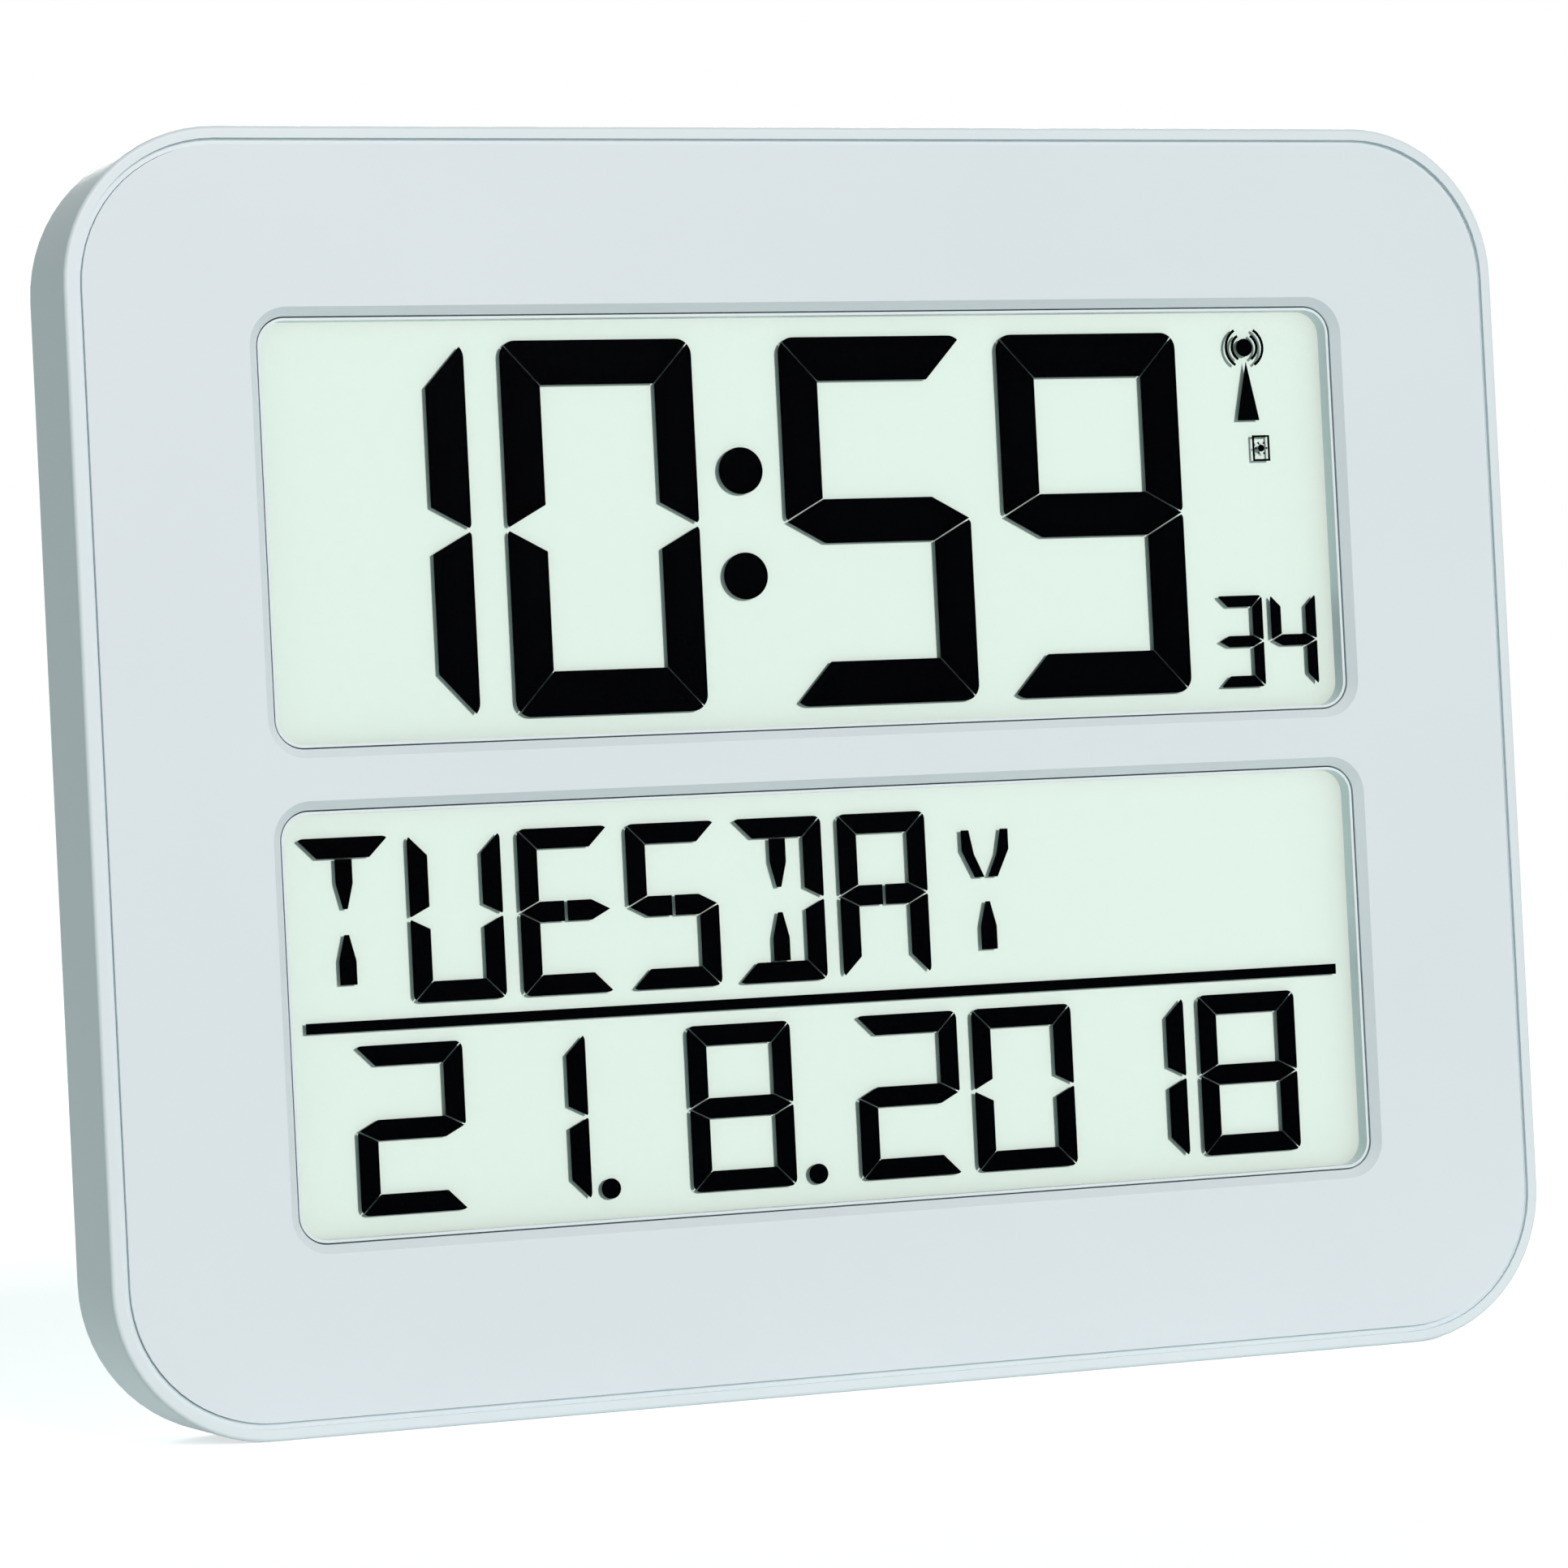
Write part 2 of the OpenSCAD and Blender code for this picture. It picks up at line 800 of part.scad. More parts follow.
// Extra bars of a letter cell: the halves of the middle bar, the centre posts and the diagonals
module half_middle(w, h, s, gap) {
    difference() {
        middle_bar(w, h, s, gap);
        translate([w / 2 - 2 * gap, h / 2 - s[1]])
            square([w, 2 * s[1]]);
    }
}

module centre_post(w, h, s, gap) {
    wide = s[0] * 0.43;
    narrow = s[0] * 0.12;
    top = h - s[1] - gap;
    shoulder = h - s[1] * 2.2;
    tip = h / 2 + s[1] * 0.62;
    polygon([
        [w / 2 - wide, top],
        [w / 2 + wide, top],
        [w / 2 + wide, shoulder],
        [w / 2 + narrow, tip],
        [w / 2 - narrow, tip],
        [w / 2 - wide, shoulder]
    ]);
}

// The diagonal of the cell's upper left quarter
module diagonal(w, h, s, gap) {
    left = s[0] + 2 * gap;
    top = h - s[1] - 2 * gap;
    tip = h / 2 + s[1] * 0.6;
    polygon([
        [left, top],
        [left + s[0] * 0.42, top],
        [w / 2 - s[0] * 0.62, h - s[1] * 2.3],
        [w / 2 - s[0] * 0.1, tip],
        [w / 2 - s[0] * 0.62, tip],
        [left, h - s[1] * 2.1]
    ]);
}

// Bars of the weekday's letters: h and j are the upper diagonals, i and l the centre posts,
// and p and q the halves of the middle bar
WEEKDAY_BARS = ["ail", "bcdef", "adefpq", "afpqcd", "abcdil", "abcefpq", "hjl"];

module letter(bars, w, h, s) {
    gap = segment_gap / 2;
    if (has(bars, "abcdefg"))
        bars_shape(bars, w, h, s, gap);
    if (has(bars, "p"))
        half_middle(w, h, s, gap);
    if (has(bars, "q"))
        flip_x(w)
            half_middle(w, h, s, gap);
    if (has(bars, "i"))
        centre_post(w, h, s, gap);
    if (has(bars, "l"))
        flip_y(h)
            centre_post(w, h, s, gap);
    if (has(bars, "h"))
        diagonal(w, h, s, gap);
    if (has(bars, "j"))
        flip_x(w)
            diagonal(w, h, s, gap);
}

// A radio mast: a dot with two waves on each side over a tapered pole
module mast_icon() {
    wave_t = 0.45;
    circle(1.55);
    for (r = [2.6, 3.75], side = [-1, 1])
        intersection() {
            difference() {
                circle(r);
                circle(r - wave_t);
            }
            polygon([[0, 0], [side * 3.2, 5.2], [side * 5, 0], [side * 3.2, -5.2]]);
        }
    polygon([[0.15, -2.5], [-1.95, -12.7], [2.25, -12.7]]);
}

// A boxed sun, the sign for summer time
module sun_icon() {
    difference() {
        square([3.3, 4.5], center = true);
        square([2.6, 3.8], center = true);
    }
    circle(0.6);
    for (a = [0:60:300])
        rotate(a)
            translate([0.85, -0.14])
                square([0.35, 0.28]);
}

// Places on a display, as shares of its window's width and height
function across(share) = window_w * share;
function up(share) = window_h * share;

time_pitch = across(0.2034);
time_digit_w = time_pitch - time_space;
time_digit_h = window_h - 2 * time_margin;
hour_x = across(-0.4793);
minute_x = across(-0.0248);
time_base = win_y - time_digit_h / 2;
colon_x = across(-0.0641);
colon_up = up(0.121);
colon_r = up(0.054);
seconds_bar = 1.95;
time_bars = [time_upright, time_level];
seconds_bars = [seconds_bar, seconds_bar];
date_bars = [date_stroke, date_stroke];
seconds_x = across(0.3787);
seconds_pitch = seconds_w + 1.6;
seconds_base = win_y - up(0.419);
mast_x = across(0.4184);
mast_y = win_y + up(0.3888);
sun_x = across(0.4301);
sun_y = win_y + up(0.1483);

module time_segments() {
    color("black")
        slab(segment_front + film, rear_glass_front - film) {
            translate([hour_x, time_base])
                digit(1, time_digit_w, time_digit_h, time_bars);
            translate([hour_x + time_pitch, time_base])
                digit(0, time_digit_w, time_digit_h, time_bars);
            translate([minute_x, time_base])
                digit(5, time_digit_w, time_digit_h, time_bars);
            translate([minute_x + time_pitch, time_base])
                digit(9, time_digit_w, time_digit_h, time_bars);
            for (side = [-1, 1])
                translate([colon_x, win_y + side * colon_up])
                    circle(colon_r);
            translate([seconds_x, seconds_base])
                digit(3, seconds_w, seconds_h, seconds_bars);
            translate([seconds_x + seconds_pitch, seconds_base])
                digit(4, seconds_w, seconds_h, seconds_bars);
            translate([mast_x, mast_y])
                mast_icon();
            translate([sun_x, sun_y])
                sun_icon();
        }
}

letter_pitch = across(0.09635);
letter_w = letter_pitch - letter_space;
letter_h = up(letter_share);
letter_x = across(-0.4742);
letter_base = up(0.0404) - win_y;
divider_x = across(0.0025);
divider_y = -up(0.0041) - win_y;
divider_w = across(0.9493);
date_pitch = across(0.10816);
date_digit_w = date_pitch - date_space;
date_digit_h = up(date_share);
date_base = -up(0.4272) - win_y;
day_x = across(-0.4321);
month_x = across(-0.1388);
year_x = across(0.0155);
dots_x = [across(-0.2128), across(-0.0248)];
dot_r = 1.7;

module date_segments() {
    color("black")
        slab(segment_front + film, rear_glass_front - film) {
            for (i = [0:6])
                translate([letter_x + i * letter_pitch, letter_base])
                    letter(WEEKDAY_BARS[i], letter_w, letter_h, date_bars);
            translate([divider_x, divider_y])
                square([divider_w, divider_t], center = true);
            for (cell = [[day_x, 0, 2], [day_x, 1, 1], [month_x, 0, 8],
                         [year_x, 0, 2], [year_x, 1, 0], [year_x, 2, 1], [year_x, 3, 8]])
                translate([cell[0] + cell[1] * date_pitch, date_base])
                    digit(cell[2], date_digit_w, date_digit_h, date_bars);
            for (x = dots_x)
                translate([x, date_base + dot_r])
                    circle(dot_r);
        }
}

// ---- boards and what is on them ----

module main_board() {
    color("darkgreen")
        difference() {
            slab(board_front, board_back)
                translate([board_x, 0])
                    square([board_w, board_h], center = true);
            at_board_holes()
                rod(small_screw_r + 0.1, board_front - 1, board_back + 1);
        }
}

module board_screws() {
    color("silver")
        at_board_holes()
            small_screw(board_back, board_t + 1.5, true);
}

module controller_drop() {
    color("black")
        translate([board_x - board_w / 10, board_h / 12, -board_back])
            intersection() {
                translate([0, 0, drop_sphere - drop_h])
                    sphere(drop_sphere);
                translate([0, 0, -drop_h])
                    cylinder(r = drop_sphere, h = drop_h);
            }
}

module quartz_crystal() {
    color("silver")
        translate([board_x + board_w / 5, board_h / 4, -board_back - crystal_r])
            rotate([0, 90, 0])
                cylinder(r = crystal_r, h = crystal_l);
}

module capacitor() {
    color("darkblue")
        translate([board_x + board_w / 3, -board_h / 4, 0])
            rod(capacitor_r, board_back, board_back + capacitor_h);
}

module radio_board() {
    color("darkgreen")
        slab(radio_back - radio_t, radio_back)
            translate([radio_x, rod_y])
                square([radio_w, radio_h], center = true);
}

module radio_chip() {
    color("black")
        slab(radio_back, radio_back + radio_t)
            translate([radio_x + radio_w / 12, rod_y])
                square([radio_w / 4, radio_h / 3], center = true);
}

module antenna_rod() {
    color("dimgray")
        translate([rod_x - rod_l / 2, rod_y, -rod_d])
            rotate([0, 90, 0])
                cylinder(r = rod_r, h = rod_l);
}

module antenna_coil() {
    color("peru")
        translate([rod_x - coil_l / 2, rod_y, -rod_d])
            rotate([0, 90, 0])
                difference() {
                    cylinder(r = rod_r + coil_t, h = coil_l);
                    translate([0, 0, -1])
                        cylinder(r = rod_r + 0.05, h = coil_l + 2);
                }
}

// Base strip on the case panel, with a cradle near each end of the rod and pegs for its board
module antenna_cradle() {
    left = radio_x - radio_w / 2 - 2;
    right = rod_x + rod_l / 2;
    arm_w = 4;
    arm_y = rod_r + cradle_arm;
    color("white")
        difference() {
            union() {
                slab(panel_back, panel_back + 1)
                    translate([left, rod_y - cradle_w / 2])
                        square([right - left, cradle_w]);
                for (x = [-1, 1])
                    translate([rod_x + x * (rod_l / 2 - 7) - arm_w / 2, rod_y - arm_y, -rod_d - 1])
                        cube([arm_w, 2 * arm_y, rod_d + 1 - panel_back]);
                for (x = [-1, 1])
                    translate([radio_x + x * (radio_w / 2 - 3), rod_y, 0])
                        rod(2, panel_back + 0.5, panel_back + cradle_h);
            }
            translate([rod_x - rod_l / 2 - 1, rod_y, -rod_d])
                rotate([0, 90, 0])
                    cylinder(r = rod_r + 0.05, h = rod_l + 2);
        }
}

// A lead through points given as [x, y, depth]; a sphere rounds each bend
module lead(points, r) {
    for (i = [1:len(points) - 1]) {
        start = points[i - 1];
        run = points[i] - start;
        length = norm(run);
        translate([start[0], start[1], -start[2]])
            rotate([0, acos(-run[2] / length), atan2(run[1], run[0])])
                cylinder(r = r, h = length);
        if (i < len(points) - 1)
            translate([points[i][0], points[i][1], -points[i][2]])
                sphere(r);
    }
}

// From the ends of the coil to the radio board, past the arms of the cradle
module antenna_leads() {
    x = radio_x + radio_w / 2 - 1;
    color("peru")
        for (side = [-1, 1]) {
            near = rod_y + side * (rod_r + coil_t + wire_gap);
            far = rod_y + side * (rod_r + cradle_arm + 0.5);
            lead([
                [rod_x - coil_l / 2 + 2, near, rod_d],
                [rod_x - coil_l / 2 + 2, far, rod_d],
                [x, far, rod_d],
                [x, far, radio_back]
            ], 0.25);
        }
}

// Flat lead from the radio board over the back of the display frame to the main board
module radio_ribbon() {
    top = rod_y - radio_h / 2 + 3;
    low = board_h / 2;
    color("lightgray")
        translate([board_left + 2 * board_hole, 0, 0])
            rotate([0, 90, 0])
                linear_extrude(radio_ribbon_w)
                    polygon([
                        [radio_back, top],
                        [radio_back + ribbon_t, top],
                        [radio_back + ribbon_t, frame_h / 2 + 2],
                        [board_back + ribbon_t, low + 4],
                        [board_back + ribbon_t, low - 3],
                        [board_back, low - 3],
                        [board_back, low + 3],
                        [radio_back, frame_h / 2 + 1]
                    ]);
}

// From the tabs of the two outer contacts round the battery tray to the main board
module battery_leads() {
    start_x = tab_end - lead_r - wire_gap;
    end_x = board_left + board_hole;
    around = bay_h / 2 + tray_wall + 1.5;
    color("red")
        lead([
            [start_x, bay_y + cell_y, cell_d],
            [start_x, bay_y + around, cell_d],
            [end_x, bay_y + around, cell_d],
            [end_x, bay_y + around, board_back]
        ], lead_r);
    color("black")
        lead([
            [start_x, bay_y - cell_y, cell_d],
            [start_x, bay_y - around, cell_d],
            [board_left - 5, bay_y - around, cell_d],
            [board_left - 5, bay_y + board_hole, cell_d],
            [end_x, bay_y + board_hole, cell_d],
            [end_x, bay_y + board_hole, board_back]
        ], lead_r);
}

module key_board() {
    color("darkgreen")
        difference() {
            slab(key_board_front, key_board_back)
                translate([button_x, key_board_y])
                    square([key_board_w, key_board_h], center = true);
            at_key_board_holes()
                rod(small_screw_r + 0.1, key_board_front - 1, key_board_back + 1);
        }
}

module key_switches() {
    color("dimgray")
        for (y = button_y)
            translate([button_x, y, 0]) {
                slab(key_board_back, switch_top - plunger_h)
                    square([switch_w, switch_w], center = true);
                rod(plunger_r, switch_top - plunger_h - 0.2, switch_top);
            }
}

module key_board_screws() {
    color("silver")
        at_key_board_holes()
            small_screw(key_board_front, 3.5 * board_t, false);
}

// Flat lead from the key board to the main board, with a bow in it
module key_ribbon() {
    mid = (key_board_front + board_back) / 2;
    half = (key_board_front - board_back) / 2;
    bow = half / 2;
    color("lightgray")
        translate([button_x - ribbon_w / 2, key_board_y, 0])
            rotate([0, 90, 0])
                linear_extrude(ribbon_w)
                    polygon([
                        [board_back, 0],
                        [mid, bow],
                        [mid + half, 0],
                        [mid + half, ribbon_t],
                        [mid, bow + ribbon_t],
                        [board_back, ribbon_t]
                    ]);
}

// ---- buttons ----

module push_button(y) {
    color("silver")
        translate([button_x, y, 0])
            difference() {
                union() {
                    rod(button_r, flange_out - flange_t, button_out);
                    rod(flange_r, flange_out - flange_t, flange_out);
                    rod(1.8, stem_tip, flange_out);
                }
                // finger dish in the cap
                translate([0, 0, -button_out - 11.6])
                    sphere(12);
            }
}

module set_button() {
    push_button(button_y[0]);
}

module up_button() {
    push_button(button_y[1]);
}

module down_button() {
    push_button(button_y[2]);
}

module wave_button() {
    push_button(button_y[3]);
}

// ---- batteries ----

module cell(side) {
    button_l = 1.2;
    button_r = 2.7;
    mirror([side > 0 ? 0 : 1, 0, 0])
        translate([bay_l / 2 - contact_t - 0.25 - cell_l, 0, 0])
            rotate([0, 90, 0])
                rotate_extrude()
                    polygon([
                        [0, 0],
                        [cell_r - 1, 0],
                        [cell_r - 1, 0.3],
                        [cell_r - 0.4, 0.3],
                        [cell_r, 0.7],
                        [cell_r, cell_l - button_l - 0.7],
                        [cell_r - 0.5, cell_l - button_l - 0.2],
                        [cell_r - 1.4, cell_l - button_l - 0.2],
                        [cell_r - 1.4, cell_l - button_l],
                        [button_r, cell_l - button_l],
                        [button_r, cell_l - 0.3],
                        [button_r - 0.3, cell_l],
                        [0, cell_l]
                    ]);
}

module upper_battery() {
    color("goldenrod")
        translate([bay_x, bay_y + cell_y, -cell_d])
            cell(-1);
}

module lower_battery() {
    color("goldenrod")
        translate([bay_x, bay_y - cell_y, -cell_d])
            cell(1);
}

// Conical spring: one wire wound from its plate up to the cell
spring_turns = 4;
spring_wire = 0.4; // radius of the wire
spring_base = cell_r - 2.5; // radius of the turn on the plate
spring_tip = cell_r - 4.5; // radius of the turn on the cell

function spring_point(t) = let (
    a = 360 * spring_turns * t,
    r = spring_base + (spring_tip - spring_base) * t
) [r * cos(a), r * sin(a), spring_wire + (spring_l - 2 * spring_wire) * t];

module spring() {
    rings = 12 * spring_turns;
    sides = 6;
    points = [for (i = [0:rings]) for (k = [0:sides - 1])
        let (
            a = 360 * spring_turns * i / rings,
            centre = spring_point(i / rings),
            out = spring_wire * cos(360 * k / sides)
        ) centre + [out * cos(a), out * sin(a), spring_wire * sin(360 * k / sides)]];
    walls = [for (i = [0:rings - 1]) for (k = [0:sides - 1])
        let (
            next = (k + 1) % sides,
            low = i * sides,
            high = low + sides
        ) each [[low + k, low + next, high + next], [low + k, high + next, high + k]]];
    start_cap = [[for (k = [sides - 1:-1:0]) k]];
    end_cap = [[for (k = [0:sides - 1]) rings * sides + k]];
    polyhedron(concat(points), concat(walls, start_cap, end_cap));
}

module contact_springs() {
    color("silver")
        for (side = [-1, 1])
            translate([bay_x + side * (bay_l / 2 - contact_t - 0.02), bay_y + side * cell_y, -cell_d])
                rotate([0, -side * 90, 0])
                    spring();
}

// One plate for each outer pole, with a tab through the tray, and one that joins the two cells
module contact_plates() {
    plate_w = 11;
    color("silver")
        translate([bay_x, bay_y, -cell_d]) {
            for (side = [-1, 1]) {
                translate([-bay_l / 2 + contact_t / 2, side * cell_y, 0])
                    cube([contact_t, plate_w, plate_w], center = true);
                translate([tab_end - bay_x, side * cell_y - tab_w / 2, -contact_t / 2])
                    cube([bay_x - bay_l / 2 - tab_end + contact_t / 2, tab_w, contact_t]);
            }
            translate([bay_l / 2 - contact_t / 2, 0, 0])
                cube([contact_t, 2 * cell_y + plate_w, plate_w], center = true);
        }
}

module battery_lid() {
    latch_w = 14;
    latch_l = 9;
    slit = 0.8;
    grip_pitch = 1.4;
    rib_t = 1.2;
    color("gainsboro")
        translate([bay_x, bay_y, 0])
            difference() {
                union() {
                    slab(lid_in, total_d)
                        round_rect(lid_w, lid_h, lid_r);
                    // ribs that locate the lid inside the bay
                    slab(lid_in - cell_gap - rib_t, lid_in + 0.5)
                        for (x = [-1, 1], y = [-1, 1])
                            translate([x * (bay_l / 2 - 12), y * (bay_h / 2 - lid_gap - rib_t / 2)])
                                square([8, rib_t], center = true);
                }
                // slits beside the latch
                slab(lid_in - 1, total_d + 1)
                    for (x = [-1, 1])
                        translate([x * latch_w / 2, lid_h / 2 - latch_l / 2 + 0.5])
                            square([slit, latch_l + 1], center = true);
                // grip lines
                slab(total_d - 0.4, total_d + 1)
                    for (i = [0:3])
                        translate([0, lid_h / 2 - 2.5 - grip_pitch * i])
                            square([latch_w - 4, grip_pitch / 2], center = true);
            }
}

// ---- stand ----

module stand() {
    out_d = total_d - 0.2;
    rib_in = recess_floor + 0.5;
    rib_t = 2;
    color("gainsboro") {
        // plate, foot and side ribs
        slab(out_d - stand_t, out_d)
            translate([-stand_w / 2, stand_up - stand_l])
                square([stand_w, stand_l]);
        slab(rib_in, out_d)
            translate([-stand_w / 2, stand_up - stand_l])
                square([stand_w, 3]);
        slab(rib_in, out_d)
            for (x = [-1, 1])
                translate([x * (stand_w - rib_t) / 2, stand_up - stand_l / 2])
                    square([rib_t, stand_l], center = true);
        // knuckle along the hinge, with a pin at each end
        translate([-stand_w / 2, stand_up, -hinge_d])
            rotate([0, 90, 0])
                cylinder(r = knuckle_r, h = stand_w);
        translate([-stand_w / 2 - pivot_l, stand_up, -hinge_d])
            rotate([0, 90, 0])
                cylinder(r = pivot_r, h = stand_w + 2 * pivot_l);
    }
}

// ---- the clock, stood up on its lower edge ----

module upright() {
    translate([0, -total_d / 2, case_h / 2])
        rotate([90, 0, 0])
            children();
}

upright() front_case();
upright() face_plate();
upright() rear_cover();
upright() case_screws();
upright() display_frame();
upright() frame_screws();
upright() front_glass(1);  // time_front_glass
upright() time_segments();
upright() rear_glass(1);  // time_rear_glass
upright() reflector(1);  // time_reflector
upright() front_glass(-1);  // date_front_glass
upright() date_segments();
upright() rear_glass(-1);  // date_rear_glass
upright() reflector(-1);  // date_reflector
upright() contact_strip(1);  // time_contact_strip
upright() contact_strip(-1);  // date_contact_strip
upright() main_board();
upright() board_screws();
upright() controller_drop();
upright() quartz_crystal();
upright() capacitor();
upright() radio_board();
upright() radio_chip();
upright() antenna_rod();
upright() antenna_coil();
upright() antenna_cradle();
upright() antenna_leads();
upright() radio_ribbon();
upright() battery_leads();
upright() key_board();
upright() key_switches();
upright() key_board_screws();
upright() key_ribbon();
upright() set_button();
upright() up_button();
upright() down_button();
upright() wave_button();
upright() battery_lid();
upright() upper_battery();
upright() lower_battery();
upright() contact_springs();
upright() contact_plates();
upright() stand();
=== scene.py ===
from math import cos, pi, sin

import bmesh
import bpy
from mathutils import Matrix, Vector


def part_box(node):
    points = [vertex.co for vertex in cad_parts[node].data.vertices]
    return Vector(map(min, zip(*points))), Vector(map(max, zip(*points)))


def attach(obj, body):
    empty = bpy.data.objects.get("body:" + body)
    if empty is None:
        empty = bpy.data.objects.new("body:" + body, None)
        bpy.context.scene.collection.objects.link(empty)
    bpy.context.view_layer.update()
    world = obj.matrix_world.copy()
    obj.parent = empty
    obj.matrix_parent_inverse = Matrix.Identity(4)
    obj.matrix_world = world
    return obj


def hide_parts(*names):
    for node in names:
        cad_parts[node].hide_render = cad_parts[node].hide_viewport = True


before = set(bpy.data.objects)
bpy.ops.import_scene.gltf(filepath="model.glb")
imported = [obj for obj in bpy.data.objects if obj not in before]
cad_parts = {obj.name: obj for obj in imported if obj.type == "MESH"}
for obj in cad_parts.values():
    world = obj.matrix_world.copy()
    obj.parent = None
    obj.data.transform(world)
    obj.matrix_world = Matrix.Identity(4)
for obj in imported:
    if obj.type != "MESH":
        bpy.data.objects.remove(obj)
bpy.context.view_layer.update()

mm = 0.001


def toLinear(hexText):
    channels = [int(hexText[i:i + 2], 16) / 255 for i in (1, 3, 5)]
    return [c / 12.92 if c <= 0.04045 else ((c + 0.055) / 1.055) ** 2.4 for c in channels] + [1.0]


def addNode(tree, kind, values=None, links=None, **settings):
    node = tree.nodes.new(kind)
    for name, value in settings.items():
        setattr(node, name, value)
    for key, value in (values or {}).items():
        node.inputs[key].default_value = value
    for key, source in (links or {}).items():
        tree.links.new(source, node.inputs[key])
    return node


def startMaterial(name):
    material = bpy.data.materials.new(name)
    material.use_nodes = True
    material.node_tree.nodes.clear()
    return material, material.node_tree


def finishMaterial(tree, values, links):
    shader = addNode(tree, "ShaderNodeBsdfPrincipled", values, links)
    addNode(tree, "ShaderNodeOutputMaterial", links={"Surface": shader.outputs[0]})


def dress(material, *nodes):
    for name in nodes:
        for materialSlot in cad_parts[name].material_slots:
            materialSlot.material = material


# fitted to the outline, the groove and the two windows
cameraLook = {
    "place": (-358.90, -886.11, 86.71),  # mm in the clock's frame
    "aim": (-9.82, -13.5, 101.96),
    "roll": -0.050104,  # radians
    "lens": 129.28,  # mm
    "sensor": 36,
    "clip": (0.02, 60),  # metres
}


def makeCamera(look):
    place = Vector(look["place"]) * mm
    forward = (Vector(look["aim"]) * mm - place).normalized()
    right = forward.cross(Vector((0, 0, 1))).normalized()
    up = right.cross(forward)
    c, s = cos(look["roll"]), sin(look["roll"])
    rightTurned = right * c + up * s
    upTurned = up * c - right * s
    data = bpy.data.cameras.new("studioCamera")
    data.lens = look["lens"]
    data.sensor_width = look["sensor"]
    data.clip_start, data.clip_end = look["clip"]
    camera = bpy.data.objects.new("studioCamera", data)
    turn = Matrix((rightTurned, upTurned, -forward)).transposed().to_4x4()
    camera.matrix_world = Matrix.Translation(place) @ turn
    bpy.context.scene.collection.objects.link(camera)
    bpy.context.scene.camera = camera


makeCamera(cameraLook)
print("camera set")


# soft light from the front and a little above, a lamp for the two displays alone, and a
# weaker light behind the clock for the rear views
lightLook = {
    "ambient": 0.17,
    "ambientColour": "#D6FFFE",  # the shaded side of the case is a little cooler than its face
    "key": 2.38,
    "keyColour": "#FFF1F2",
    "keyFrom": (0.09, -0.93, 0.34),
    "keySoftness": 24,  # degrees, of the light behind too
    "display": 2.42,
    "displayColour": "#FFF5F5",
    "displayFrom": (0.3, -0.85, 0.2),
    "displaySoftness": 10,
    "back": 2.0,
    "backColour": "#FFF8F8",
    "backFrom": (0.35, 0.85, 0.25),
}


def addSun(name, strength, colour, comesFrom, softness):
    data = bpy.data.lights.new(name, "SUN")
    data.energy = strength
    data.color = toLinear(colour)[:3]
    data.angle = softness * pi / 180
    lamp = bpy.data.objects.new(name, data)
    lamp.rotation_euler = Vector(comesFrom).to_track_quat("Z", "Y").to_euler()
    bpy.context.scene.collection.objects.link(lamp)
    return lamp


def groupNodes(name, state, *nodes):
    group = bpy.data.collections.new(name)
    for node in nodes:
        group.objects.link(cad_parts[node])
    for member in group.collection_objects:
        member.light_linking.link_state = state
    return group


def whiteRays(tree):
    # 1 on the rays that see the background: the camera's, and those of metal and glass
    ray = addNode(tree, "ShaderNodeLightPath")
    seen = addNode(tree, "ShaderNodeMath", links={
        0: ray.outputs["Is Camera Ray"], 1: ray.outputs["Is Glossy Ray"]}, operation="MAXIMUM")
    seen = addNode(tree, "ShaderNodeMath", links={
        0: seen.outputs[0], 1: ray.outputs["Is Transmission Ray"]}, operation="MAXIMUM")
    return seen.outputs[0]


def makeStudio(look):
    key = addSun("keyLight", look["key"], look["keyColour"], look["keyFrom"], look["keySoftness"])
    back = addSun("backLight", look["back"], look["backColour"], look["backFrom"],
                  look["keySoftness"])
    # the films are evenly lit up to the windows' edges, so the segments alone stop their lamp
    display = addSun("displayLight", look["display"], look["displayColour"], look["displayFrom"],
                     look["displaySoftness"])
    films = ("time_reflector", "date_reflector")
    key.light_linking.receiver_collection = groupNodes("allButFilms", "EXCLUDE", *films)
    back.light_linking.receiver_collection = key.light_linking.receiver_collection
    display.light_linking.receiver_collection = groupNodes("films", "INCLUDE", *films)
    display.light_linking.blocker_collection = groupNodes(
        "darkSegments", "INCLUDE", "time_segments", "date_segments")
    world = bpy.data.worlds.new("studioWorld")
    bpy.context.scene.world = world
    world.use_nodes = True
    tree = world.node_tree
    tree.nodes.clear()
    seen = whiteRays(tree)
    ambient = addNode(tree, "ShaderNodeBackground",
                      {"Color": toLinear(look["ambientColour"]), "Strength": look["ambient"]})
    white = addNode(tree, "ShaderNodeBackground", {"Color": (1, 1, 1, 1), "Strength": 1.0})
    mix = addNode(tree, "ShaderNodeMixShader", links={
        0: seen, 1: ambient.outputs[0], 2: white.outputs[0]})
    addNode(tree, "ShaderNodeOutputWorld", links={"Surface": mix.outputs[0]})


floorLook = {
    "size": 14.0,  # metres
    "colour": "#EAF2F2",
    "lift": 0.66,
    "grainMm": 1.11,
    "grainDepthMm": 0.1,
    "grainStrength": 0.1,
}


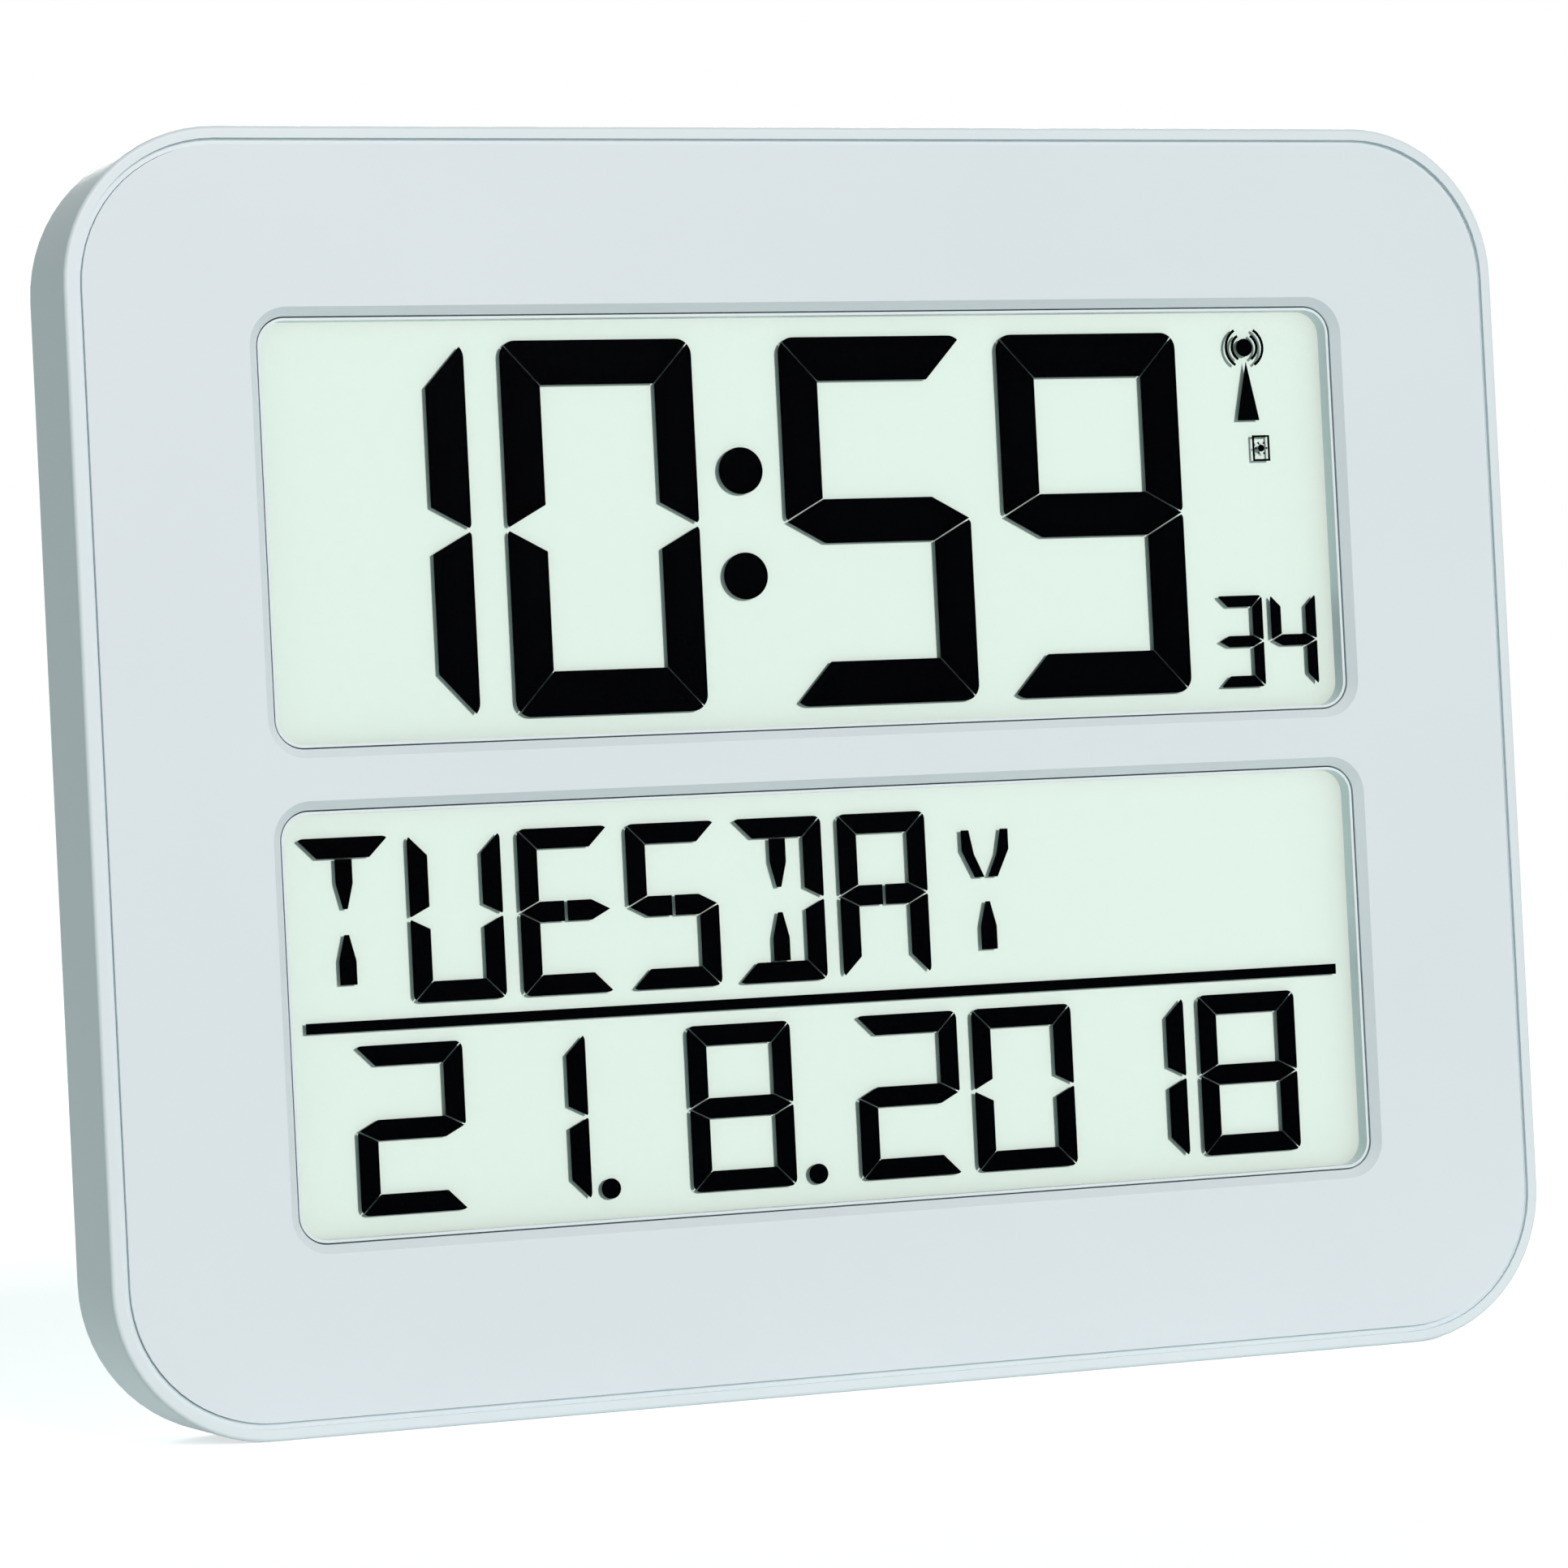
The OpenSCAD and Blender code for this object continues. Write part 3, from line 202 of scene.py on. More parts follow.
def makeFloor(look):
    # white laminate table top; the lift takes it to white for the camera and leaves the shadow
    mesh = bpy.data.meshes.new("tableTop")
    half = look["size"] / 2
    mesh.from_pydata([(-half, -half, 0), (half, -half, 0), (half, half, 0), (-half, half, 0)],
                     [], [(0, 1, 2, 3)])
    floor = bpy.data.objects.new("tableTop", mesh)
    bpy.context.scene.collection.objects.link(floor)
    material, tree = startMaterial("whiteLaminate")
    grain = addNode(tree, "ShaderNodeTexNoise",
                    {"Scale": 1 / (look["grainMm"] * mm), "Detail": 3.0},
                    {"Vector": addNode(tree, "ShaderNodeTexCoord").outputs["Object"]})
    bump = addNode(tree, "ShaderNodeBump",
                   {"Strength": look["grainStrength"], "Distance": look["grainDepthMm"] * mm},
                   {"Height": grain.outputs[0]})
    lift = addNode(tree, "ShaderNodeMath", {1: look["lift"]}, {0: whiteRays(tree)},
                   operation="MULTIPLY")
    matt = addNode(tree, "ShaderNodeBsdfDiffuse", {"Color": toLinear(look["colour"])},
                   {"Normal": bump.outputs[0]})
    glow = addNode(tree, "ShaderNodeEmission", {"Color": (1, 1, 1, 1)},
                   {"Strength": lift.outputs[0]})
    both = addNode(tree, "ShaderNodeAddShader", links={0: matt.outputs[0], 1: glow.outputs[0]})
    addNode(tree, "ShaderNodeOutputMaterial", links={"Surface": both.outputs[0]})
    mesh.materials.append(material)


makeStudio(lightLook)
makeFloor(floorLook)
bpy.context.scene.view_settings.view_transform = "Standard"
print("studio set")


# what a noise texture gives lies mostly between these two
noiseLow, noiseHigh = 0.3, 0.7


def mouldedPlastic(name, look):
    # a moulding shows two things: the grain that the mould's surface leaves, and a faint
    # unevenness of colour over centimetres
    cloudMm = 45.45
    swing = 0.04  # how far the grain moves the roughness
    material, tree = startMaterial(name)
    place = addNode(tree, "ShaderNodeTexCoord").outputs["Object"]
    grain = addNode(tree, "ShaderNodeTexNoise",
                    {"Scale": 1 / (look["grainMm"] * mm), "Detail": 4.0, "Roughness": 0.6},
                    {"Vector": place})
    cloud = addNode(tree, "ShaderNodeTexNoise", {"Scale": 1 / (cloudMm * mm), "Detail": 2.0},
                    {"Vector": place})
    ramp = addNode(tree, "ShaderNodeValToRGB", links={"Fac": cloud.outputs[0]})
    ramp.color_ramp.elements[0].position = noiseLow
    ramp.color_ramp.elements[0].color = toLinear(look["darker"])
    ramp.color_ramp.elements[1].position = noiseHigh
    ramp.color_ramp.elements[1].color = toLinear(look["colour"])
    sheen = addNode(tree, "ShaderNodeMapRange",
                    {"From Min": noiseLow, "From Max": noiseHigh,
                     "To Min": look["roughness"] - swing, "To Max": look["roughness"] + swing},
                    {"Value": grain.outputs[0]})
    bump = addNode(tree, "ShaderNodeBump",
                   {"Strength": look["grainStrength"], "Distance": look["grainDepthMm"] * mm},
                   {"Height": grain.outputs[0]})
    finishMaterial(tree, {"IOR": 1.53, "Specular IOR Level": look["gloss"]}, {
        "Base Color": ramp.outputs[0], "Roughness": sheen.outputs[0], "Normal": bump.outputs[0]})
    return material


# ABS, moulded on fine-blasted steel: a cool pale grey with a soft satin shine
caseAbs = mouldedPlastic("mouldedAbsCase", {
    "colour": "#D8E6E8", "darker": "#D6E4E7", "grainMm": 0.30, "grainDepthMm": 0.02,
    "grainStrength": 0.18, "roughness": 0.42, "gloss": 0.35})
# ABS, moulded on polished and lightly blasted steel: finer in grain than the case round it
faceAbs = mouldedPlastic("mouldedAbsFace", {
    "colour": "#D8E5E8", "darker": "#D6E3E6", "grainMm": 0.25, "grainDepthMm": 0.015,
    "grainStrength": 0.12, "roughness": 0.46, "gloss": 0.3})
# ABS, moulded on spark-eroded steel: a dull even pebble that hides fingermarks
backAbs = mouldedPlastic("sparkErodedAbsBack", {
    "colour": "#D3DDE0", "darker": "#D0DADD", "grainMm": 0.55, "grainDepthMm": 0.05,
    "grainStrength": 0.45, "roughness": 0.55, "gloss": 0.35})
# ABS in a darker grey, from a smooth mould: a little glossier than the case
buttonAbs = mouldedPlastic("mouldedAbsButton", {
    "colour": "#9FAAAE", "darker": "#99A4A8", "grainMm": 0.3, "grainDepthMm": 0.02,
    "grainStrength": 0.15, "roughness": 0.38, "gloss": 0.4})
# polystyrene of the hidden frame and cradle, from a milled mould: a slightly yellow white
innerStyrene = mouldedPlastic("mouldedStyrene", {
    "colour": "#E6E6E0", "darker": "#E0E0D8", "grainMm": 0.8, "grainDepthMm": 0.02,
    "grainStrength": 0.1, "roughness": 0.35, "gloss": 0.5})

dress(caseAbs, "front_case")
dress(faceAbs, "face_plate")
dress(backAbs, "rear_cover", "battery_lid", "stand")
dress(buttonAbs, "set_button", "up_button", "down_button", "wave_button")
dress(innerStyrene, "display_frame", "antenna_cradle")
print("plastics made")


def makePolariser(name, look):
    # the film on the glass is so clear that only a trace of its own grey shows
    material, tree = startMaterial(name)
    haze = addNode(tree, "ShaderNodeTexNoise", {"Scale": 1 / (look["hazeMm"] * mm), "Detail": 2.0},
                   {"Vector": addNode(tree, "ShaderNodeTexCoord").outputs["Object"]})
    rough = addNode(tree, "ShaderNodeMapRange",
                    {"To Min": look["roughness"] - look["swing"],
                     "To Max": look["roughness"] + look["swing"]},
                    {"Value": haze.outputs[0]})
    finishMaterial(tree, {"Base Color": toLinear(look["colour"]), "IOR": 1.49,
                          "Alpha": look["alpha"]}, {"Roughness": rough.outputs[0]})
    return material


polariserGlass = makePolariser("polariserFilm", {
    "colour": "#0C1010", "roughness": 0.2, "swing": 0.03, "hazeMm": 0.4, "alpha": 0.012})
rearGlass = makePolariser("displayRearGlass", {
    "colour": "#141A18", "roughness": 0.1, "swing": 0.03, "hazeMm": 0.4, "alpha": 0.006})


def makeReflector(look):
    # coated film that scatters light behind the glass: pale green, with a fine speckle
    material, tree = startMaterial("reflectorFilm")
    place = addNode(tree, "ShaderNodeTexCoord").outputs["Object"]
    speckle = addNode(tree, "ShaderNodeTexNoise",
                      {"Scale": 1 / (look["speckleMm"] * mm), "Detail": 3.0}, {"Vector": place})
    ramp = addNode(tree, "ShaderNodeValToRGB", links={"Fac": speckle.outputs[0]})
    ramp.color_ramp.elements[0].position = look["rampFrom"]
    ramp.color_ramp.elements[0].color = toLinear(look["darker"])
    ramp.color_ramp.elements[1].position = look["rampTo"]
    ramp.color_ramp.elements[1].color = toLinear(look["colour"])
    finishMaterial(tree, {"Roughness": look["roughness"], "Specular IOR Level": look["gloss"]},
                   {"Base Color": ramp.outputs[0]})
    return material


reflectorFilm = makeReflector({
    "colour": "#EBFFF4", "darker": "#E7FBF0", "speckleMm": 0.5, "rampFrom": 0.25, "rampTo": 0.75,
    "roughness": 0.7, "gloss": 0.2})


def makeSegmentDark(look):
    # liquid crystal that is switched on: it lets nothing through, so it reads as flat black
    material, tree = startMaterial("liquidCrystalDark")
    drift = addNode(tree, "ShaderNodeTexNoise", {"Scale": 1 / (look["driftMm"] * mm)},
                    {"Vector": addNode(tree, "ShaderNodeTexCoord").outputs["Object"]})
    ramp = addNode(tree, "ShaderNodeValToRGB", links={"Fac": drift.outputs[0]})
    ramp.color_ramp.elements[0].color = toLinear(look["darker"])
    ramp.color_ramp.elements[1].color = toLinear(look["colour"])
    finishMaterial(tree, {"Roughness": look["roughness"], "Specular IOR Level": look["gloss"]},
                   {"Base Color": ramp.outputs[0]})
    return material


segmentDark = makeSegmentDark({
    "colour": "#020305", "darker": "#010102", "driftMm": 16.67, "roughness": 0.8, "gloss": 0.0})

dress(polariserGlass, "time_front_glass", "date_front_glass")
dress(rearGlass, "time_rear_glass", "date_rear_glass")
dress(reflectorFilm, "time_reflector", "date_reflector")
dress(segmentDark, "time_segments", "date_segments")
print("displays made")


def makeMetal(name, look):
    swing, strength, depthMm = 0.06, 0.15, 0.01  # of the fine marks
    material, tree = startMaterial(name)
    place = addNode(tree, "ShaderNodeTexCoord").outputs["Object"]
    stretched = addNode(tree, "ShaderNodeMapping", {"Scale": look["stretch"]}, {"Vector": place})
    marks = addNode(tree, "ShaderNodeTexNoise",
                    {"Scale": 1 / (look["markMm"] * mm), "Detail": 5.0},
                    {"Vector": stretched.outputs[0]})
    rough = addNode(tree, "ShaderNodeMapRange",
                    {"From Min": noiseLow, "From Max": noiseHigh,
                     "To Min": look["roughness"] - swing, "To Max": look["roughness"] + swing},
                    {"Value": marks.outputs[0]})
    bump = addNode(tree, "ShaderNodeBump", {"Strength": strength, "Distance": depthMm * mm},
                   {"Height": marks.outputs[0]})
    finishMaterial(tree, {"Base Color": toLinear(look["colour"]), "Metallic": 1.0}, {
        "Roughness": rough.outputs[0], "Normal": bump.outputs[0]})
    return material


# zinc-plated steel: a bluish white metal, dulled by the passivation
zincSteel = makeMetal("zincPlatedSteel", {
    "colour": "#C4C8CC", "roughness": 0.34, "markMm": 0.6, "stretch": (1, 1, 1)})
# nickel-plated spring steel: brighter and warmer, with faint marks of the drawing
nickelSpring = makeMetal("nickelPlatedSpring", {
    "colour": "#D2CCC2", "roughness": 0.22, "markMm": 0.5, "stretch": (0.3, 1, 1)})
dress(zincSteel, "case_screws", "frame_screws", "board_screws", "key_board_screws")
dress(nickelSpring, "contact_springs", "contact_plates", "quartz_crystal")
print("metals made")


def makeEpoxy(name, look):
    # a dark filled body, such as moulded or dropped epoxy, with a faint cloud of filler in it
    swing, strength = 0.05, 0.2  # of the filler's grain
    material, tree = startMaterial(name)
    place = addNode(tree, "ShaderNodeTexCoord").outputs["Object"]
    filler = addNode(tree, "ShaderNodeTexNoise",
                     {"Scale": 1 / (look["grainMm"] * mm), "Detail": 4.0}, {"Vector": place})
    ramp = addNode(tree, "ShaderNodeValToRGB", links={"Fac": filler.outputs[0]})
    ramp.color_ramp.elements[0].color = toLinear(look["darker"])
    ramp.color_ramp.elements[1].color = toLinear(look["colour"])
    rough = addNode(tree, "ShaderNodeMapRange",
                    {"To Min": look["roughness"] - swing, "To Max": look["roughness"] + swing},
                    {"Value": filler.outputs[0]})
    bump = addNode(tree, "ShaderNodeBump",
                   {"Strength": strength, "Distance": look["depthMm"] * mm},
                   {"Height": filler.outputs[0]})
    finishMaterial(tree, {"IOR": 1.55}, {"Base Color": ramp.outputs[0],
                   "Roughness": rough.outputs[0], "Normal": bump.outputs[0]})
    return material


def makeSolderMask(look):
    # glass-epoxy board under green solder mask; the copper tracks show as paler raised lines
    material, tree = startMaterial("solderMaskedBoard")
    place = addNode(tree, "ShaderNodeTexCoord").outputs["Object"]
    along = addNode(tree, "ShaderNodeSeparateXYZ", links={0: place})
    field = addNode(tree, "ShaderNodeTexVoronoi",
                    {"Scale": 1 / (look["fieldMm"] * mm), "Randomness": look["disorder"]},
                    {"Vector": place}, distance="CHEBYCHEV")
    turned = addNode(tree, "ShaderNodeMath", {1: look["turnOver"]},
                     {0: field.outputs["Color"]}, operation="GREATER_THAN")
    across = addNode(tree, "ShaderNodeMix", links={
        0: turned.outputs[0], 2: along.outputs["X"], 3: along.outputs["Z"]})
    pitch = addNode(tree, "ShaderNodeMath", {1: 1 / (look["trackPitchMm"] * mm)},
                    {0: across.outputs[0]}, operation="MULTIPLY")
    part = addNode(tree, "ShaderNodeMath", links={0: pitch.outputs[0]}, operation="FRACT")
    track = addNode(tree, "ShaderNodeMath", {1: look["trackShare"]}, {0: part.outputs[0]},
                    operation="LESS_THAN")
    ramp = addNode(tree, "ShaderNodeValToRGB", links={"Fac": track.outputs[0]})
    ramp.color_ramp.elements[0].color = toLinear(look["mask"])
    ramp.color_ramp.elements[1].color = toLinear(look["maskOnCopper"])
    weave = addNode(tree, "ShaderNodeTexNoise", {"Scale": 1 / (look["weaveMm"] * mm)},
                    {"Vector": place})
    rough = addNode(tree, "ShaderNodeMapRange",
                    {"To Min": look["smoothest"], "To Max": look["roughest"]},
                    {"Value": weave.outputs[0]})
    bump = addNode(tree, "ShaderNodeBump",
                   {"Strength": look["copperStrength"], "Distance": look["copperMm"] * mm},
                   {"Height": track.outputs[0]})
    finishMaterial(tree, {}, {"Base Color": ramp.outputs[0], "Roughness": rough.outputs[0],
                   "Normal": bump.outputs[0]})
    return material


def makeStriped(name, look):
    # stripes across x, one for each conductor
    wavePeriod = 0.314  # of a wave texture at scale 1
    material, tree = startMaterial(name)
    place = addNode(tree, "ShaderNodeTexCoord").outputs["Object"]
    stripe = addNode(tree, "ShaderNodeTexWave",
                     {"Scale": wavePeriod / (look["pitchMm"] * mm)}, {"Vector": place},
                     bands_direction="X")
    ramp = addNode(tree, "ShaderNodeValToRGB", links={"Fac": stripe.outputs["Fac"]})
    # the darker colour falls where the bump is lowest: carbon on the zebra strip, painted shade in
    # the flat cable's grooves
    ramp.color_ramp.elements[0].position = look["share"] - look["softEdge"]
    ramp.color_ramp.elements[0].color = toLinear(look["darker"])
    ramp.color_ramp.elements[1].position = look["share"] + look["softEdge"]
    ramp.color_ramp.elements[1].color = toLinear(look["colour"])
    grain = addNode(tree, "ShaderNodeTexNoise", {"Scale": 1 / (look["grainMm"] * mm)},
                    {"Vector": place})
    rough = addNode(tree, "ShaderNodeMapRange",
                    {"To Min": look["roughness"] - look["swing"],
                     "To Max": look["roughness"] + look["swing"]},
                    {"Value": grain.outputs[0]})
    bump = addNode(tree, "ShaderNodeBump",
                   {"Strength": look["ridgeStrength"], "Distance": look["ridgeMm"] * mm},
                   {"Height": stripe.outputs["Fac"]})
    finishMaterial(tree, {}, {"Base Color": ramp.outputs[0], "Roughness": rough.outputs[0],
                   "Normal": bump.outputs[0]})
    return material


def makeTwoTone(name, look):
    # one colour below a level along an axis of the clock and another above it, with a faint grain
    swing, strength, depthMm = 0.06, 0.15, 0.02  # of the grain
    material, tree = startMaterial(name)
    place = addNode(tree, "ShaderNodeTexCoord").outputs["Object"]
    along = addNode(tree, "ShaderNodeSeparateXYZ", links={0: place})
    above = addNode(tree, "ShaderNodeMath", {1: look["levelMm"] * mm},
                    {0: along.outputs[look["axis"]]}, operation="GREATER_THAN")
    ramp = addNode(tree, "ShaderNodeValToRGB", links={"Fac": above.outputs[0]})
    ramp.color_ramp.elements[0].color = toLinear(look["below"])
    ramp.color_ramp.elements[1].color = toLinear(look["above"])
    grain = addNode(tree, "ShaderNodeTexNoise", {"Scale": 1 / (look["grainMm"] * mm)},
                    {"Vector": place})
    rough = addNode(tree, "ShaderNodeMapRange",
                    {"To Min": look["roughness"] - swing, "To Max": look["roughness"] + swing},
                    {"Value": grain.outputs[0]})
    bump = addNode(tree, "ShaderNodeBump", {"Strength": strength, "Distance": depthMm * mm},
                   {"Height": grain.outputs[0]})
    finishMaterial(tree, {}, {"Base Color": ramp.outputs[0], "Roughness": rough.outputs[0],
                   "Normal": bump.outputs[0]})
    return material


# bonded chips: a satin drop over the controller, and a moulded block on the radio board
droppedEpoxy = makeEpoxy("droppedEpoxy", {
    "colour": "#17171A", "darker": "#0E0E10", "grainMm": 0.9, "depthMm": 0.05, "roughness": 0.28})
mouldedEpoxy = makeEpoxy("mouldedEpoxyChip", {
    "colour": "#26262A", "darker": "#1C1C1F", "grainMm": 0.2, "depthMm": 0.02, "roughness": 0.55})
# glass-filled nylon of the switch bodies: black, with a dull grain
blackNylon = makeEpoxy("glassFilledNylon", {
    "colour": "#2E2E30", "darker": "#222224", "grainMm": 0.35, "depthMm": 0.03, "roughness": 0.5})
# sintered ferrite: charcoal grey and matt, like fired clay
sinteredFerrite = makeEpoxy("sinteredFerrite", {
    "colour": "#4A484A", "darker": "#333134", "grainMm": 0.4, "depthMm": 0.05, "roughness": 0.72})
solderMask = makeSolderMask({
    "mask": "#14502C", "maskOnCopper": "#2B7A46",
    "fieldMm": 9.0, "disorder": 0.8,  # patches of parallel tracks
    "turnOver": 0.45,  # a patch whose random value is over this has its tracks turned
    "trackPitchMm": 1.27, "trackShare": 0.34, "copperMm": 0.035, "copperStrength": 0.4,
    "weaveMm": 0.5, "smoothest": 0.25, "roughest": 0.4})
# carbon and clear silicone in turn, pressed between glass and board; drawn three times coarser
# than its real pitch of 0.18 mm, which is too fine to show
zebraRubber = makeStriped("zebraSilicone", {
    "colour": "#D8D4CC", "darker": "#1B1B1D", "pitchMm": 0.54, "share": 0.5, "softEdge": 0.08,
    "grainMm": 0.3, "roughness": 0.6, "swing": 0.05, "ridgeMm": 0.01, "ridgeStrength": 0.5})
# flat cable: grey PVC drawn over wires 1.27 mm apart, with a groove between each two; the darker
# stripe down each groove is painted shade
ribbonPvc = makeStriped("flatCablePvc", {
    "colour": "#B9BCBE", "darker": "#8A8D90", "pitchMm": 1.27, "share": 0.2, "softEdge": 0.08,
    "grainMm": 0.3, "roughness": 0.45, "swing": 0.05, "ridgeMm": 0.25, "ridgeStrength": 0.5})
# PVC on stranded wire: the upper lead is red for plus, the lower one black for minus
leadPvc = makeTwoTone("wireJacketPvc", {
    "axis": "Z", "levelMm": 84.0, "below": "#1D1D1F", "above": "#B3221C", "grainMm": 0.6,
    "roughness": 0.4})
# electrolytic capacitor: a dark blue shrink sleeve round a can whose bare end is grey
canSleeve = makeTwoTone("shrinkSleevedCan", {
    "axis": "Y", "levelMm": 3.1, "below": "#1F2C52", "above": "#B6B8BA", "grainMm": 0.5,
    "roughness": 0.35})
# copper wire in clear enamel: redder than bare copper, and glossy
enamelledCopper = makeMetal("enamelledCopperWire", {
    "colour": "#B4653A", "roughness": 0.3, "markMm": 0.4, "stretch": (1, 1, 1)})

dress(droppedEpoxy, "controller_drop")
dress(mouldedEpoxy, "radio_chip")
dress(blackNylon, "key_switches")
dress(sinteredFerrite, "antenna_rod")
dress(solderMask, "main_board", "radio_board", "key_board")
dress(zebraRubber, "time_contact_strip", "date_contact_strip")
dress(ribbonPvc, "radio_ribbon", "key_ribbon")
dress(leadPvc, "battery_leads")
dress(canSleeve, "capacitor")
dress(enamelledCopper, "antenna_leads", "antenna_coil")
print("inner parts dressed")


def boxMm(node):
    low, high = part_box(node)
    return low / mm, high / mm


def addPiece(name, bm, materials, body, slot, *replaced):
    # takes a mesh drawn in millimetres in the clock's frame
    joinMm = 0.0005
    bmesh.ops.remove_doubles(bm, verts=bm.verts, dist=joinMm)
    bmesh.ops.scale(bm, vec=(mm, mm, mm), verts=bm.verts)
    bmesh.ops.recalc_face_normals(bm, faces=bm.faces)
    mesh = bpy.data.meshes.new(name)
    bm.to_mesh(mesh)
    bm.free()
    for material in materials:
        mesh.materials.append(material)
    piece = bpy.data.objects.new(name, mesh)
    bpy.context.scene.collection.objects.link(piece)
    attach(piece, body)
    if replaced:
        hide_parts(*replaced)


def addRings(bm, rings, kind, capped=True):
    # joins rings of points into a skin, and closes its ends
    rows = [[bm.verts.new(point) for point in ring] for ring in rings]
    for near, far in zip(rows, rows[1:]):
        for i, corner in enumerate(near):
            after = (i + 1) % len(near)
            face = bm.faces.new((corner, near[after], far[after], far[i]))
            face.material_index = kind
            face.smooth = True
    if capped:
        for row in (rows[0], rows[-1]):
            bm.faces.new(row).material_index = kind


# PET film shrunk round the can and over its edges: smooth, with a soft gloss
petFilm = mouldedPlastic("shrunkPetFilm", {
    "colour": "#CBCFCA", "darker": "#C5C9C4", "grainMm": 1.2, "grainDepthMm": 0.01,
    "grainStrength": 0.1, "roughness": 0.3, "gloss": 0.5})
# the same film, printed in a dark grey
printedFilm = mouldedPlastic("printedPetFilm", {
    "colour": "#3A4650", "darker": "#35414A", "grainMm": 1.2, "grainDepthMm": 0.01,
    "grainStrength": 0.1, "roughness": 0.3, "gloss": 0.5})
# polyester tape wound over the wire's ends: amber, thin and glossy
amberTape = mouldedPlastic("polyesterTape", {
    "colour": "#C98A2E", "darker": "#BD7F27", "grainMm": 0.8, "grainDepthMm": 0.02,
    "grainStrength": 0.2, "roughness": 0.25, "gloss": 0.5})


# alkaline cells: a pale jacket over a steel can, with a dark band at the plus end
cellLook = {
    "steps": 48,
    "plusTowards": {"upper_battery": -1, "lower_battery": 1},  # along x
    "join": 0.001,  # mm
    # turned outlines as (mm from the minus end, radius) for a cell 50 mm long
    "minusEnd": ((0.12, 2.4), (0.12, 3.7), (0.0, 4.0), (0.0, 5.7), (0.08, 6.0), (0.3, 6.1)),
    "jacket": ((0.3, 6.1), (0.3, 6.6), (0.36, 6.82), (0.55, 7.0), (0.85, 7.1), (38.0, 7.1)),
    "band": ((38.0, 7.1), (47.9, 7.1), (48.3, 7.0), (48.52, 6.8), (48.6, 6.5), (48.6, 5.75)),
    "plusEnd": ((48.6, 5.75), (48.75, 5.7), (48.8, 5.5), (48.8, 4.3), (48.68, 3.4), (48.72, 2.9),
                (48.95, 2.72), (49.6, 2.68), (49.9, 2.5), (50.0, 2.1)),
    "signAt": 43.0,
    "signSize": 4.4,
    "signLine": 1.2,
    "signProud": 0.03,
    "signRoot": 0.05,
    "signSteps": 4,
}


def makeCell(name, replaced, look):
    low, high = boxMm(replaced)
    way = look["plusTowards"][replaced]
    middle = (low + high) / 2
    minusEnd = low.x if way > 0 else high.x
    radius = look["jacket"][-1][1]

    def onCell(along, r, angle):
        return (minusEnd + way * along, high.y - radius + r * cos(angle),
                middle.z + r * sin(angle))

    bm = bmesh.new()
    angles = [2 * pi * i / look["steps"] for i in range(look["steps"])]
    metal, jacket, band = 0, 1, 2  # places in the piece's list of materials
    for kind, part in ((metal, "minusEnd"), (jacket, "jacket"), (band, "band"), (metal, "plusEnd")):
        outline = [[onCell(along, r, a) for a in angles] for along, r in look[part]]
        addRings(bm, outline, kind, False)
    bmesh.ops.remove_doubles(bm, verts=bm.verts, dist=look["join"])
    bmesh.ops.holes_fill(bm, edges=bm.edges)
    # the plus sign lies on the band, on the side that faces out of the bay
    long, line = look["signSize"] / 2, look["signLine"] / 2
    root, proud, steps = look["signRoot"], look["signProud"], look["signSteps"]
    for halfX, start, end in ((long, -line, line), (line, line, long), (line, -long, -line)):
        rings = []
        for i in range(steps + 1):
            angle = (start + (end - start) * i / steps) / radius
            rings.append([onCell(look["signAt"] + x, radius + rise, angle) for x, rise in (
                (-halfX, -root), (-halfX, proud), (halfX, proud), (halfX, -root))])
        addRings(bm, rings, jacket)
    addPiece(name, bm, (nickelSpring, petFilm, printedFilm), "clock", "cell_jacket", replaced)


makeCell("upperCell", "upper_battery", cellLook)
makeCell("lowerCell", "lower_battery", cellLook)
print("cells made")


# enamelled wire wound in one layer on the ferrite rod, with a turn of tape at each end
windingLook = {
    "pitch": 0.6,  # mm
    "wireR": 0.3,
    "sunk": 0.3,  # of the wire's radius, under the outside of the tape
    "wall": 1.14,  # from the rod to the outside of the tape
    "tape": 1.8,  # width
    "tapeRound": 0.1,
    "steps": 40,
    "samples": 6,  # points along each turn of wire
}


def makeWinding(look):
    low, high = boxMm("antenna_coil")
    middle = (low + high) / 2
    outer = (high.z - low.z) / 2
    bore = outer - look["wall"]

    def ringAt(x, radiusAt):
        ring = []
        for i in range(look["steps"]):
            angle = 2 * pi * i / look["steps"]
            r = radiusAt(angle)
            ring.append((x, middle.y + r * cos(angle), middle.z + r * sin(angle)))
        return ring

    def wireAt(x):
        phase = pi * (x - near) / look["pitch"]
        return ringAt(x, lambda angle: outer - look["wireR"] * (
            1 + look["sunk"] - abs(sin(phase + angle / 2))))

    copper, tape = 0, 1  # places in the piece's list of materials
    bm = bmesh.new()
    near, far = low.x + look["tape"], high.x - look["tape"]
    count = int((far - near) / look["pitch"]) * look["samples"]
    inner = [ringAt(x, lambda angle: bore) for x in (near, far)]
    wire = [wireAt(near + (far - near) * i / count) for i in range(count + 1)]
    addRings(bm, inner[:1] + wire + inner[1:] + inner[:1], copper, False)
    for start, end in ((low.x, near), (far, high.x)):
        turn = look["tapeRound"]
        profile = ((start, bore), (start, outer - turn), (start + turn, outer), (end - turn, outer),
                   (end, outer - turn), (end, bore), (start, bore))
        addRings(bm, [ringAt(x, lambda angle: r) for x, r in profile], tape, False)
    addPiece("antennaWinding", bm, (enamelledCopper, amberTape), "clock", "copper", "antenna_coil")


makeWinding(windingLook)
print("winding made")


